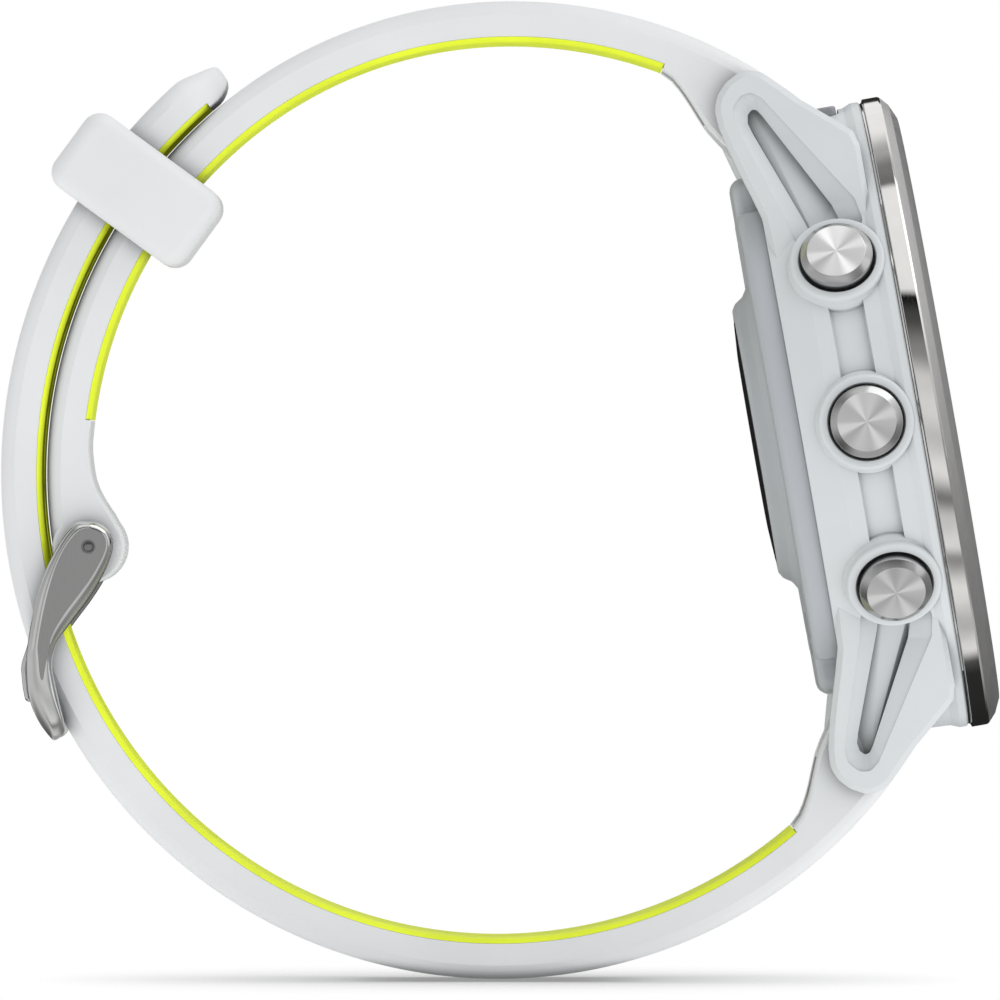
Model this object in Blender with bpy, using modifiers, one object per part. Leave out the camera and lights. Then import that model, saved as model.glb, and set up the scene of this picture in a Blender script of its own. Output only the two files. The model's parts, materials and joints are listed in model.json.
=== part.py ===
"""GPS running watch, buckled into its wearing loop.

Row frame: +X towards the display side, +Y towards the 3 o'clock side, +Z up, with the lowest point of the
strap loop on Z = 0 under the loop's centre. The case is tilted by TILT_DEG, so its pieces are modelled in a
case frame of their own: x = 3 o'clock, y = 12 o'clock, z = display normal, with z = 0 on the back cover's
outer face. Lengths are written in millimetres and turned to metres by MM.
"""

import math

import bmesh
import bpy
from mathutils import Matrix, Vector

MM = 0.001

# Case frame
TILT_DEG = 10.0
CASE_ORIGIN = (19.92, 0.0, 39.31)

# Case wall and its interior
CASE_R = 22.5
CASE_TOP_R = 23.0
CASE_LOW_Z = 1.75
CASE_TOP_Z = 10.15
CAVITY_R = 20.6
FLANGE_R = 17.2
FLANGE_TOP_Z = 3.6
FIT = 0.25
ROUND = 48
HIDDEN_ROUND = 32

# Lugs: the strap is as wide as the gap between a pair, less a clearance on each side
LUG_IN_X = 11.3
LUG_OUT_X = 14.9
LUG_BAR_Y = 24.2
LUG_BAR_Z = 2.5
LUG_BAR_R = 0.85

# Bezel, crystal and display
BEZEL_R = 23.25
BEZEL_LOW_Z = 10.4
FRONT_Z = 12.9
DISPLAY_R = 18.0
CRYSTAL_R = 18.8

# Back cover and sensor
COVER_R = 21.3
COVER_TOP_Z = 1.45
COVER_SHORT_Y = 19.0
SENSOR_Z = -1.35
SENSOR_R = 9.0
SCREW_AT = 14.0

# Buttons: angle of each axis round the case, from 3 o'clock
BUTTON_ANGLES = {
    "upper_left": 149.0,
    "middle_left": 180.0,
    "lower_left": 211.0,
    "upper_right": 31.0,
    "lower_right": -31.0,
}
BUTTON_Z = 6.56
CAP_R = 2.62
CAP_TOP = 24.4
CAP_LOW = 22.7
CAP_BORE_R = 2.75
SHAFT_R = 0.75
SHAFT_HOLE_R = 0.82
SHAFT_END = 19.4
RECESS_FLOOR = 21.2
GUARD_R = 3.46
GUARD_TOP = 23.3

# Strap: the two halves lie on arcs that share the centre LOOP_CENTRE where they overlap
LOOP_CENTRE = (1.7, 36.72)
STRAP_T = 3.0
LINER_T = 0.3
LINER_GAP = 0.15
STRAP_LUG_HALF = 11.0
STRAP_HALF = 10.0
INNER_R = 33.2
INNER_R_TOP = 31.7
INNER_R_LUG = 32.85
OUTER_R = 36.55
OUTER_R_LOW = 34.55
OUTER_R_LUG = 34.2
WIDE_FROM_X = 14.0
NARROW_FROM_X = -8.0
ARC_STEP_DEG = 4.0

# Buckle and keeper
PIN_ANGLE = 189.5
PIN_ORBIT = 32.1
PIN_R = 0.6
PIN_HOLE_R = 0.68
PIN_BULGE_R = 2.6
ARM_IN = 10.5
ARM_T = 1.6
TONGUE_HALF = 0.95
HOLE_ANGLES = [156.6 + 10.0 * k for k in range(9)]
HOLE_LENGTH = 5.8
HOLE_WIDTH = 2.8
KEEPER_ANGLE = 143.8
KEEPER_LENGTH = 6.6
KEEPER_HALF = 12.6
KEEPER_NEAR = 29.15
KEEPER_FAR = 40.8
KEEPER_ROOM_NEAR = 31.3
KEEPER_ROOM_FAR = 38.3
KEEPER_ROOM_HALF = 10.45


def clear_scene():
    for obj in list(bpy.data.objects):
        bpy.data.objects.remove(obj, do_unlink=True)


def new_collection(name, hidden=False):
    made = bpy.data.collections.new(name)
    made.hide_render = hidden
    bpy.context.scene.collection.children.link(made)
    return made


clear_scene()
PARTS = new_collection("gps_running_watch")
CUTTERS = new_collection("cutters", hidden=True)

CASE = bpy.data.objects.new("case_frame", None)
PARTS.objects.link(CASE)
TILT = math.radians(TILT_DEG)
CASE_X = Vector((0.0, 1.0, 0.0))
CASE_Y = Vector((-math.sin(TILT), 0.0, math.cos(TILT)))
CASE_Z = Vector((math.cos(TILT), 0.0, math.sin(TILT)))
CASE_TURN = Matrix((CASE_X, CASE_Y, CASE_Z)).transposed().to_4x4()
CASE.matrix_world = Matrix.Translation(Vector(CASE_ORIGIN) * MM) @ CASE_TURN


# ---------------------------------------------------------------- helpers


def material(name, colour, roughness, metallic=0.0):
    made = bpy.data.materials.new(name)
    made.use_nodes = True
    shader = made.node_tree.nodes["Principled BSDF"]
    shader.inputs["Base Color"].default_value = (*colour, 1.0)
    shader.inputs["Roughness"].default_value = roughness
    shader.inputs["Metallic"].default_value = metallic
    made.diffuse_color = (*colour, 1.0)
    return made


def link(name, mesh, matrix, parent, helper):
    """An object of this mesh, placed by matrix in its parent's frame: a part, or a hidden cutter."""
    obj = bpy.data.objects.new(name, mesh)
    (CUTTERS if helper else PARTS).objects.link(obj)
    obj.parent = parent
    obj.matrix_local = matrix
    if helper:
        obj.hide_render = True
        obj.display_type = "WIRE"
    return obj


def finish(obj, mat):
    obj.data.materials.clear()
    obj.data.materials.append(mat)
    obj.data.shade_smooth()
    obj.data.set_sharp_from_angle(angle=math.radians(35))
    return obj


def placed(x=0.0, y=0.0, z=0.0, rotation=None):
    """A local placement: a point in millimetres and an optional rotation matrix."""
    turn = rotation.to_4x4() if rotation else Matrix.Identity(4)
    return Matrix.Translation(Vector((x, y, z)) * MM) @ turn


def block(name, low, high, parent=CASE, helper=False, matrix=None):
    bm = bmesh.new()
    bmesh.ops.create_cube(bm, size=1.0)
    for vert in bm.verts:
        for axis in range(3):
            vert.co[axis] = (low[axis] if vert.co[axis] < 0 else high[axis]) * MM
    mesh = bpy.data.meshes.new(name)
    bm.to_mesh(mesh)
    bm.free()
    return link(name, mesh, matrix or Matrix.Identity(4), parent, helper)


def rod(name, radius, low, high, segments, parent=CASE, helper=False, matrix=None):
    """A cylinder along its local z, from low to high."""
    bm = bmesh.new()
    middle = Matrix.Translation((0.0, 0.0, 0.5 * (low + high) * MM))
    bmesh.ops.create_cone(
        bm, cap_ends=True, segments=segments, radius1=radius * MM, radius2=radius * MM,
        depth=(high - low) * MM, matrix=middle,
    )
    mesh = bpy.data.meshes.new(name)
    bm.to_mesh(mesh)
    bm.free()
    return link(name, mesh, matrix or Matrix.Identity(4), parent, helper)


def turned(name, profile, segments, closed=True, parent=CASE, helper=False, matrix=None):
    """A turned shape round its local z: the (radius, z) profile runs down the outer side first."""
    mesh = bpy.data.meshes.new(name)
    count = len(profile)
    edges = [(k, k + 1) for k in range(count - 1)] + ([(count - 1, 0)] if closed else [])
    mesh.from_pydata([(r * MM, 0.0, z * MM) for r, z in profile], edges, [])
    obj = link(name, mesh, matrix or Matrix.Identity(4), parent, helper)
    screw = obj.modifiers.new("Screw", "SCREW")
    screw.axis = "Z"
    screw.steps = segments
    screw.render_steps = segments
    screw.use_merge_vertices = True
    screw.merge_threshold = 0.000001
    screw.use_smooth_shade = True
    return obj


def ring(name, outer, inner, high, low, segments, **options):
    return turned(name, [(outer, high), (outer, low), (inner, low), (inner, high)], segments, **options)


def outline_mesh(name, points, thickness, smooth=False):
    """A closed flat outline given in millimetres, thickened evenly to both sides of its plane."""
    curve = bpy.data.curves.new(name, "CURVE")
    curve.dimensions = "2D"
    curve.fill_mode = "BOTH"
    curve.extrude = 0.5 * thickness * MM
    curve.resolution_u = 3
    if smooth:
        spline = curve.splines.new("BEZIER")
        spline.bezier_points.add(len(points) - 1)
        for knot, (x, y) in zip(spline.bezier_points, points):
            knot.co = (x * MM, y * MM, 0.0)
            knot.handle_left_type = "AUTO"
            knot.handle_right_type = "AUTO"
    else:
        spline = curve.splines.new("POLY")
        spline.points.add(len(points) - 1)
        for knot, (x, y) in zip(spline.points, points):
            knot.co = (x * MM, y * MM, 0.0, 1.0)
    spline.use_cyclic_u = True
    drawn = bpy.data.objects.new(name, curve)
    CUTTERS.objects.link(drawn)
    graph = bpy.context.evaluated_depsgraph_get()
    mesh = bpy.data.meshes.new_from_object(drawn.evaluated_get(graph))
    bpy.data.objects.remove(drawn, do_unlink=True)
    bm = bmesh.new()
    bm.from_mesh(mesh)
    bmesh.ops.remove_doubles(bm, verts=bm.verts, dist=0.000002)
    bmesh.ops.recalc_face_normals(bm, faces=bm.faces)
    bm.to_mesh(mesh)
    bm.free()
    mesh.name = name
    return mesh


def boolean(obj, other, operation):
    modifier = obj.modifiers.new(operation.title(), "BOOLEAN")
    modifier.operation = operation
    modifier.solver = "EXACT"
    modifier.object = other


def cut(obj, *cutters):
    for cutter in cutters:
        boolean(obj, cutter, "DIFFERENCE")


def join(obj, *others):
    for other in others:
        boolean(obj, other, "UNION")


def rounded(obj, width, segments=1, angle=40.0):
    modifier = obj.modifiers.new("Bevel", "BEVEL")
    modifier.width = width * MM
    modifier.segments = segments
    modifier.limit_method = "ANGLE"
    modifier.angle_limit = math.radians(angle)
    return obj


def copy_of(obj, name, matrix, parent=CASE):
    """Another object of the same mesh and modifiers."""
    made = obj.copy()
    made.name = name
    PARTS.objects.link(made)
    made.parent = parent
    made.matrix_local = matrix
    return made


def radial(angle_deg, z=0.0):
    """The placement in the case frame whose local z points outwards at this angle round the case."""
    turn = Matrix.Rotation(math.radians(angle_deg), 3, "Z") @ Matrix.Rotation(math.radians(90), 3, "Y")
    return placed(z=z, rotation=turn)


def side_view(y=0.0):
    """The placement whose local x, y are the row's X, Z: local z then points to -Y."""
    return placed(y=y, rotation=Matrix.Rotation(math.radians(90), 3, "X"))


SIDE_OF_CASE = Matrix(((0, 0, 1), (0, 1, 0), (-1, 0, 0)))


def case_side(x):
    """The placement in the case frame whose local x, y are the case's z (turned round) and y."""
    return placed(x=x, rotation=SIDE_OF_CASE)


# ---------------------------------------------------------------- materials

STONE = material("stone_polymer", (0.78, 0.80, 0.80), 0.45)
GREY_COVER = material("cover_polymer", (0.42, 0.46, 0.49), 0.5)
TITANIUM = material("titanium", (0.55, 0.54, 0.52), 0.28, 1.0)
STEEL = material("steel", (0.62, 0.61, 0.60), 0.3, 1.0)
GLASS = material("crystal_glass", (0.02, 0.02, 0.025), 0.05)
SENSOR_GLASS = material("sensor_glass", (0.03, 0.03, 0.035), 0.08)
RUBBER = material("seal_rubber", (0.03, 0.03, 0.03), 0.6)
SILICONE = material("stone_silicone", (0.82, 0.83, 0.83), 0.5)
LIME = material("lime_silicone", (0.72, 0.85, 0.03), 0.5)
BOARD = material("board_green", (0.03, 0.18, 0.09), 0.5)
FOIL = material("battery_foil", (0.6, 0.62, 0.64), 0.35, 0.8)
BLACK = material("black_plastic", (0.03, 0.03, 0.035), 0.45)
GOLD = material("contact_gold", (0.85, 0.62, 0.25), 0.25, 1.0)
LENS = material("lens_polymer", (0.5, 0.5, 0.55), 0.2)


# ---------------------------------------------------------------- case


def lug_outline():
    """(case z, case y) of one lug, seen along the case's x."""
    back = [(1.9, 14.0), (1.75, 15.8), (1.35, 17.4), (0.7, 19.5), (0.2, 21.3), (-0.1, 23.0)]
    tip = [
        (LUG_BAR_Z - 2.55 * math.cos(math.radians(a)), LUG_BAR_Y + 2.4 * math.sin(math.radians(a)))
        for a in range(0, 136, 27)
    ]
    front = [(7.05, 22.9), (8.05, 22.1), (9.2, 21.0), (9.6, 20.2), (9.6, 14.0)]
    return back + tip + front


def slot_outline():
    """(case z, case y) of the tapered slot in a lug's outer face, with a rounded far end."""
    end = [
        (2.45 + 0.6 * math.cos(math.radians(a)), 23.2 + 0.6 * math.sin(math.radians(a)))
        for a in range(15, 196, 30)
    ]
    return end + [(4.9, 14.8), (7.4, 15.2)]


def mirrored_y(points, side):
    return [(-z, y * side) for z, y in points]


def case_body():
    wall = [
        (CASE_TOP_R, CASE_TOP_Z),
        (CASE_TOP_R - 0.1, 9.6),
        (CASE_R + 0.1, 9.07),
        (CASE_R, 4.07),
        (CASE_R - 0.5, CASE_LOW_Z),
        (FLANGE_R, CASE_LOW_Z),
        (FLANGE_R, CASE_TOP_Z),
    ]
    body = turned("case_body", wall, ROUND)
    lug_x = 0.5 * (LUG_IN_X + LUG_OUT_X)
    lug_w = LUG_OUT_X - LUG_IN_X
    for side in (-1, 1):
        mesh = outline_mesh(f"lug_{side}", mirrored_y(lug_outline(), side), lug_w)
        pocket = outline_mesh(f"slot_{side}", mirrored_y(slot_outline(), side), 2.6)
        for hand in (-1, 1):
            join(body, link(f"lug_{side}_{hand}", mesh, case_side(hand * lug_x), CASE, True))
            cut(body, link(f"slot_{side}_{hand}", pocket, case_side(hand * LUG_OUT_X), CASE, True))
    for name, angle in BUTTON_ANGLES.items():
        place = radial(angle, BUTTON_Z)
        join(body, rod(f"guard_{name}", GUARD_R, 21.0, GUARD_TOP, 24, helper=True, matrix=place))
    cut(body, rod("cavity", CAVITY_R, FLANGE_TOP_Z, 12.0, ROUND, helper=True))
    cut(body, rod("flange_bore", FLANGE_R + 0.1, -3.0, 12.0, ROUND, helper=True))
    for name, angle in BUTTON_ANGLES.items():
        place = radial(angle, BUTTON_Z)
        cut(body, rod(f"cap_bore_{name}", CAP_BORE_R, RECESS_FLOOR, 26.0, 24, helper=True, matrix=place))
        cut(body, rod(f"shaft_bore_{name}", SHAFT_HOLE_R, 19.0, 22.0, 12, helper=True, matrix=place))
    cut(body, ring("bezel_groove", 22.0, 21.0, 12.0, 9.6, ROUND, helper=True))
    for side in (-1, 1):
        bar = placed(y=side * LUG_BAR_Y, z=LUG_BAR_Z, rotation=Matrix.Rotation(math.radians(90), 3, "Y"))
        cut(body, rod(f"bar_hole_{side}", LUG_BAR_R + 0.06, -13.2, 13.2, 16, helper=True, matrix=bar))
        for hand in (-1, 1):
            spot = placed(x=hand * SCREW_AT, y=side * SCREW_AT)
            cut(body, rod(f"screw_hole_{side}_{hand}", 0.78, 0.0, 3.2, 10, helper=True, matrix=spot))
    cut(body, block("lens_window", (-4.4, 19.0, 6.9), (4.4, 25.0, 8.7), helper=True))
    return finish(body, STONE)


def back_cover():
    profile = [
        (COVER_R, COVER_TOP_Z), (COVER_R, 0.6), (COVER_R - 0.6, 0.0), (11.0, 0.0), (10.0, SENSOR_Z),
        (SENSOR_R + FIT, SENSOR_Z), (SENSOR_R + FIT, 0.9), (7.8, 0.9), (7.8, COVER_TOP_Z),
    ]
    cover = turned("back_cover", profile, ROUND)
    for side in (-1, 1):
        low, high = sorted((side * COVER_SHORT_Y, side * 25.0))
        cut(cover, block(f"cover_end_{side}", (-25.0, low, -3.0), (25.0, high, 3.0), helper=True))
        for hand in (-1, 1):
            xs = sorted((hand * (LUG_IN_X - FIT), hand * (LUG_OUT_X + FIT)))
            ys = sorted((side * 16.4, side * 25.0))
            name = f"{side}_{hand}"
            cut(cover, block(f"lug_room_{name}", (xs[0], ys[0], -3.0), (xs[1], ys[1], 3.0), helper=True))
            spot = placed(x=hand * SCREW_AT, y=side * SCREW_AT)
            cut(cover, rod(f"head_room_{name}", 1.5, -1.0, 0.75, 14, helper=True, matrix=spot))
            cut(cover, rod(f"screw_room_{name}", 0.8, -1.0, 2.0, 10, helper=True, matrix=spot))
    cut(cover, ring("cover_groove", 18.3, 17.4, 3.0, 1.1, ROUND, helper=True))
    cut(cover, block("charge_socket", (-5.2, -16.1, -1.0), (5.2, -12.9, 0.7), helper=True))
    for k in range(4):
        spot = placed(x=2.4 * (k - 1.5), y=-14.5)
        cut(cover, rod(f"contact_hole_{k}", 0.68, -1.0, 2.0, 8, helper=True, matrix=spot))
    return finish(cover, GREY_COVER)


def screws_and_contacts():
    head = [
        (0.0, 3.05), (0.62, 3.05), (0.62, 0.65), (1.3, 0.65), (1.3, 0.1), (0.6, 0.1), (0.45, 0.4),
        (0.0, 0.4),
    ]
    first = None
    corners = [(-1, -1), (1, -1), (1, 1), (-1, 1)]
    for number, (hand, side) in enumerate(corners, 1):
        spot = placed(x=hand * SCREW_AT, y=side * SCREW_AT)
        if first is None:
            first = finish(turned("back_screw_1", head, 16, closed=False, matrix=spot), STEEL)
        else:
            copy_of(first, f"back_screw_{number}", spot)
    pin = [(0.0, 1.75), (0.35, 1.75), (0.5, 1.6), (0.5, 0.4), (0.0, 0.4)]
    for k in range(4):
        spot = placed(x=2.4 * (k - 1.5), y=-14.5)
        finish(turned(f"charge_contact_{k + 1}", pin, 12, closed=False, matrix=spot), GOLD)


def bezel_and_display():
    outer = [
        (20.4, FRONT_Z), (21.5, FRONT_Z), (22.4, 12.45), (23.15, 11.8), (BEZEL_R, 11.7), (BEZEL_R, 10.75),
        (22.95, BEZEL_LOW_Z), (18.3, BEZEL_LOW_Z), (18.3, 10.9), (19.0, 10.9), (19.0, 12.7),
    ]
    finish(turned("bezel", outer, 60), TITANIUM)
    glass = [(0.0, 12.75), (CRYSTAL_R - 0.3, 12.75), (CRYSTAL_R, 12.5), (CRYSTAL_R, 11.3), (0.0, 11.3)]
    finish(turned("crystal", glass, ROUND, closed=False), GLASS)
    finish(ring("crystal_gasket", CRYSTAL_R, 18.35, 11.2, 11.0, HIDDEN_ROUND), RUBBER)
    finish(ring("bezel_gasket", 21.8, 21.2, 10.3, 9.7, HIDDEN_ROUND), RUBBER)
    panel = [(0.0, 11.1), (DISPLAY_R, 11.1), (DISPLAY_R, 10.1), (0.0, 10.1)]
    finish(turned("display_panel", panel, HIDDEN_ROUND, closed=False), BLACK)


def sensor():
    window = [(0.0, -1.4), (SENSOR_R, -1.2), (SENSOR_R, 0.65), (0.0, 0.65)][::-1]
    finish(turned("sensor_window", window, 48, closed=False), SENSOR_GLASS)
    plate = [(0.0, 2.4), (8.4, 2.4), (8.4, 1.75), (0.0, 1.75)]
    finish(turned("sensor_board", plate, 32, closed=False), BOARD)
    finish(ring("back_gasket", 18.15, 17.55, 1.65, 1.2, HIDDEN_ROUND), RUBBER)


def internals():
    finish(rounded(block("battery", (-11.0, -12.0, 2.9), (11.0, 7.0, 6.1)), 0.8, 2), FOIL)
    coin = [(0.0, 5.8), (3.3, 5.8), (3.6, 5.5), (3.6, 3.0), (0.0, 3.0)]
    finish(turned("vibration_motor", coin, 24, closed=False, matrix=placed(x=5.5, y=11.3)), STEEL)
    disc = [(0.0, 3.9), (4.0, 3.9), (4.0, 3.0), (0.0, 3.0)]
    finish(turned("piezo_buzzer", disc, 24, closed=False, matrix=placed(x=-5.5, y=11.3)), GOLD)
    board = [(0.0, 7.1), (16.4, 7.1), (16.4, 6.4), (0.0, 6.4)]
    finish(turned("main_board", board, HIDDEN_ROUND, closed=False), BOARD)
    finish(rounded(block("board_shield", (-9.0, -8.0, 7.25), (6.0, 5.0, 8.4)), 0.3), STEEL)
    frame = ring("inner_frame", 18.6, 12.0, 9.6, 8.7, HIDDEN_ROUND)
    finish(frame, BLACK)
    finish(ring("gps_antenna", 20.3, 19.2, 9.8, 8.9, HIDDEN_ROUND), GOLD)
    lens = block("flashlight_lens", (-4.2, 21.4, 7.05), (4.2, 23.35, 8.55))
    finish(rounded(lens, 0.35, 2), LENS)
    finish(block("flashlight_board", (-3.6, 18.9, 6.9), (3.6, 19.7, 8.6)), BOARD)


def buttons():
    cap = [
        (0.0, CAP_TOP), (2.1, CAP_TOP), (CAP_R, CAP_TOP - 0.45), (CAP_R, CAP_LOW), (SHAFT_R, CAP_LOW),
        (SHAFT_R, SHAFT_END), (0.0, SHAFT_END),
    ]
    for name, angle in BUTTON_ANGLES.items():
        place = radial(angle, BUTTON_Z)
        finish(turned(f"button_{name}", cap, 24, closed=False, matrix=place), STEEL)
        seal = ring(f"button_seal_{name}", 1.7, 1.0, 21.75, 21.3, 16, matrix=place)
        finish(seal, RUBBER)
        switch = block(f"button_switch_{name}", (-0.9, -1.5, 17.2), (0.9, 1.5, 18.3), matrix=place)
        finish(switch, BLACK)


# ---------------------------------------------------------------- strap paths


def polar(centre, radius, angle_deg):
    angle = math.radians(angle_deg)
    return (centre[0] + radius * math.cos(angle), centre[1] + radius * math.sin(angle))


def tangent_arc(centre, radius, next_radius, joint_deg):
    """The centre of the arc that goes on smoothly, with another radius, from this one at joint_deg."""
    return polar(centre, radius - next_radius, joint_deg)


UPPER_1 = 130.0
UPPER_2 = 91.5
UPPER_END = 51.5
LOWER_1 = 199.9
LOWER_2 = 259.1
LOWER_END = 328.5
TAIL_TIP = 127.5
UPPER_C1 = tangent_arc(LOOP_CENTRE, INNER_R, INNER_R_TOP, UPPER_1)
UPPER_C2 = tangent_arc(UPPER_C1, INNER_R_TOP, INNER_R_LUG, UPPER_2)
LOWER_C1 = tangent_arc(LOOP_CENTRE, OUTER_R, OUTER_R_LOW, LOWER_1)
LOWER_C2 = tangent_arc(LOWER_C1, OUTER_R_LOW, OUTER_R_LUG, LOWER_2)


def upper_at(angle, offset):
    """(X, Z) on the buckle half, by the direction of its outward normal."""
    if angle > UPPER_1:
        return polar(LOOP_CENTRE, INNER_R + offset, angle)
    if angle > UPPER_2:
        return polar(UPPER_C1, INNER_R_TOP + offset, angle)
    return polar(UPPER_C2, INNER_R_LUG + offset, angle)


def lower_at(angle, offset):
    """(X, Z) on the hole half, by the direction of its outward normal."""
    if angle < LOWER_1:
        return polar(LOOP_CENTRE, OUTER_R + offset, angle)
    if angle < LOWER_2:
        return polar(LOWER_C1, OUTER_R_LOW + offset, angle)
    return polar(LOWER_C2, OUTER_R_LUG + offset, angle)


def sweep(at, start, end, offset):
    count = max(2, round(abs(end - start) / ARC_STEP_DEG))
    return [at(start + (end - start) * k / count, offset) for k in range(count + 1)]


def from_case(z, y):
    """(X, Z) in the row frame of a point of the case's middle plane."""
    point = Vector(CASE_ORIGIN) + CASE_Z * z + CASE_Y * y
    return (point.x, point.z)


def lug_end(side):
    """The strap end between the lugs, from its outer to its inner surface, in row (X, Z)."""
    inner = [(1.2, 20.0), (0.1, 21.5), (-0.85, 22.9), (-2.8, 27.15)]
    return [from_case(z, y * side) for z, y in [(6.4, 20.0)] + inner]


def half_width(x):
    """Half of the strap's width at a row X: wide towards the lugs, narrow towards the buckle."""
    share = (x - WIDE_FROM_X) / (NARROW_FROM_X - WIDE_FROM_X)
    share = min(1.0, max(0.0, share))
    return STRAP_LUG_HALF + (STRAP_HALF - STRAP_LUG_HALF) * share * share * (3.0 - 2.0 * share)


def strap_piece(name, outline, mat):
    """Extrudes an outline across the strap's width, and tapers it away from the lug."""
    mesh = outline_mesh(name, outline, 2.0 * STRAP_LUG_HALF)
    for vert in mesh.vertices:
        vert.co.z *= half_width(vert.co.x / MM) / STRAP_LUG_HALF
    obj = link(name, mesh, side_view(), None, False)
    return finish(obj, mat)


LINER_UPPER = (69.5, 173.0)
LINER_LOWER = (130.6, 311.0)


def strap_holes(holes):
    """Slots through the hole half, one for each setting, long along the strap."""
    end_r = 0.5 * HOLE_WIDTH
    run = 0.5 * HOLE_LENGTH - end_r
    stadium = [
        (sign * run + end_r * math.cos(math.radians(a)), end_r * math.sin(math.radians(a)))
        for sign, start in ((1, -90), (-1, 90))
        for a in range(start, start + 181, 30)
    ]
    mesh = outline_mesh("strap_hole", stadium, 8.0)
    made = []
    for number, angle in enumerate(holes, 1):
        x, z = lower_at(angle, 0.0)
        facing = Matrix.Rotation(math.radians(90.0 - angle), 3, "Y")
        made.append(link(f"strap_hole_{number}", mesh, placed(x, 0.0, z, facing), None, True))
    return made


def across(name, radius, x, z, half, segments, helper=True):
    """A round bar along Y."""
    turn = Matrix.Rotation(math.radians(90), 3, "X")
    place = placed(x, 0.0, z, turn)
    return rod(name, radius, -half, half, segments, parent=None, helper=helper, matrix=place)


def latch_pocket(side, length, width, depth, proud, shift, name, helper):
    """A block on the wrist side of a strap end, along the line from (-0.85, 22.87) to (-2.8, 27.15)."""
    along = Vector((0.0, 4.28 * side, -1.95)).normalized()
    inward = Vector((0.0, 1.95 * side, 4.28)).normalized()
    across_x = Vector((1.0, 0.0, 0.0)) if side > 0 else Vector((-1.0, 0.0, 0.0))
    turn = Matrix((across_x, along, inward)).transposed()
    origin = Vector((0.0, 22.87 * side, -0.85)) + along * shift
    matrix = placed(origin.x, origin.y, origin.z, turn)
    low = (-0.5 * width, 0.0, -proud)
    high = (0.5 * width, length, depth)
    return block(name, low, high, parent=CASE, helper=helper, matrix=matrix)


def straps():
    half = 0.5 * STRAP_T
    bed = -half + LINER_T + LINER_GAP
    pin = polar(LOOP_CENTRE, PIN_ORBIT, PIN_ANGLE)

    bulge = [polar(pin, PIN_BULGE_R, PIN_ANGLE + a) for a in range(15, 196, 20)]
    upper = sweep(upper_at, UPPER_END, PIN_ANGLE, half) + bulge
    upper += [upper_at(181.0, -half), upper_at(LINER_UPPER[1], -half)]
    upper += sweep(upper_at, LINER_UPPER[1], LINER_UPPER[0], bed)
    upper += lug_end(1)[::-1]
    top = strap_piece("strap_buckle_half", upper, SILICONE)
    notch = block("tongue_notch", (-3.5, -1.5, -6.5), (5.0, 1.5, 3.0), parent=None, helper=True,
                  matrix=placed(pin[0], 0.0, pin[1]))
    cut(top, notch, across("pin_bore", PIN_HOLE_R, pin[0], pin[1], 12.0, 16))

    liner = sweep(upper_at, LINER_UPPER[0] + 0.5, LINER_UPPER[1] - 0.5, -half + LINER_T)
    liner += sweep(upper_at, LINER_UPPER[1] - 0.5, LINER_UPPER[0] + 0.5, -half)
    strap_piece("strap_buckle_liner", liner, LIME)

    lower = [lower_at(TAIL_TIP, -half + 0.6), lower_at(TAIL_TIP, half - 1.2), lower_at(TAIL_TIP + 4.0, half)]
    lower += sweep(lower_at, TAIL_TIP + 8.0, LOWER_END, half)
    lower += lug_end(-1)
    lower += sweep(lower_at, LINER_LOWER[1], LINER_LOWER[0], bed)
    lower += [lower_at(LINER_LOWER[0], -half), lower_at(TAIL_TIP + 0.8, -half)]
    bottom = strap_piece("strap_hole_half", lower, SILICONE)

    liner = sweep(lower_at, LINER_LOWER[0] + 0.5, LINER_LOWER[1] - 0.5, -half + LINER_T)
    liner += sweep(lower_at, LINER_LOWER[1] - 0.5, LINER_LOWER[0] + 0.5, -half)
    thin = strap_piece("strap_hole_liner", liner, LIME)
    for hole in strap_holes(HOLE_ANGLES):
        cut(bottom, hole)
        cut(thin, hole)

    for side, strap, word in ((1, top, "upper"), (-1, bottom, "lower")):
        clear = rod(f"case_room_{word}", CASE_TOP_R + FIT, -6.0, 14.0, 64, helper=True)
        pocket = latch_pocket(side, 5.2, 9.4, 1.15, 3.0, 0.55, f"latch_pocket_{word}", True)
        turn = Matrix.Rotation(math.radians(90), 3, "Y")
        place = placed(y=side * LUG_BAR_Y, z=LUG_BAR_Z, rotation=turn)
        bore = rod(f"bar_bore_{word}", LUG_BAR_R + 0.12, -12.0, 12.0, 16, helper=True, matrix=place)
        cut(strap, clear, pocket, bore)
        latch = latch_pocket(side, 3.4, 9.0, 0.95, 0.2, 0.75, f"release_latch_{word}", False)
        finish(rounded(latch, 0.2), STEEL)
        bar = rod(f"lug_bar_{word}", LUG_BAR_R, -13.0, 13.0, 16, matrix=place)
        finish(bar, STEEL)


# ---------------------------------------------------------------- buckle and keeper


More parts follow.
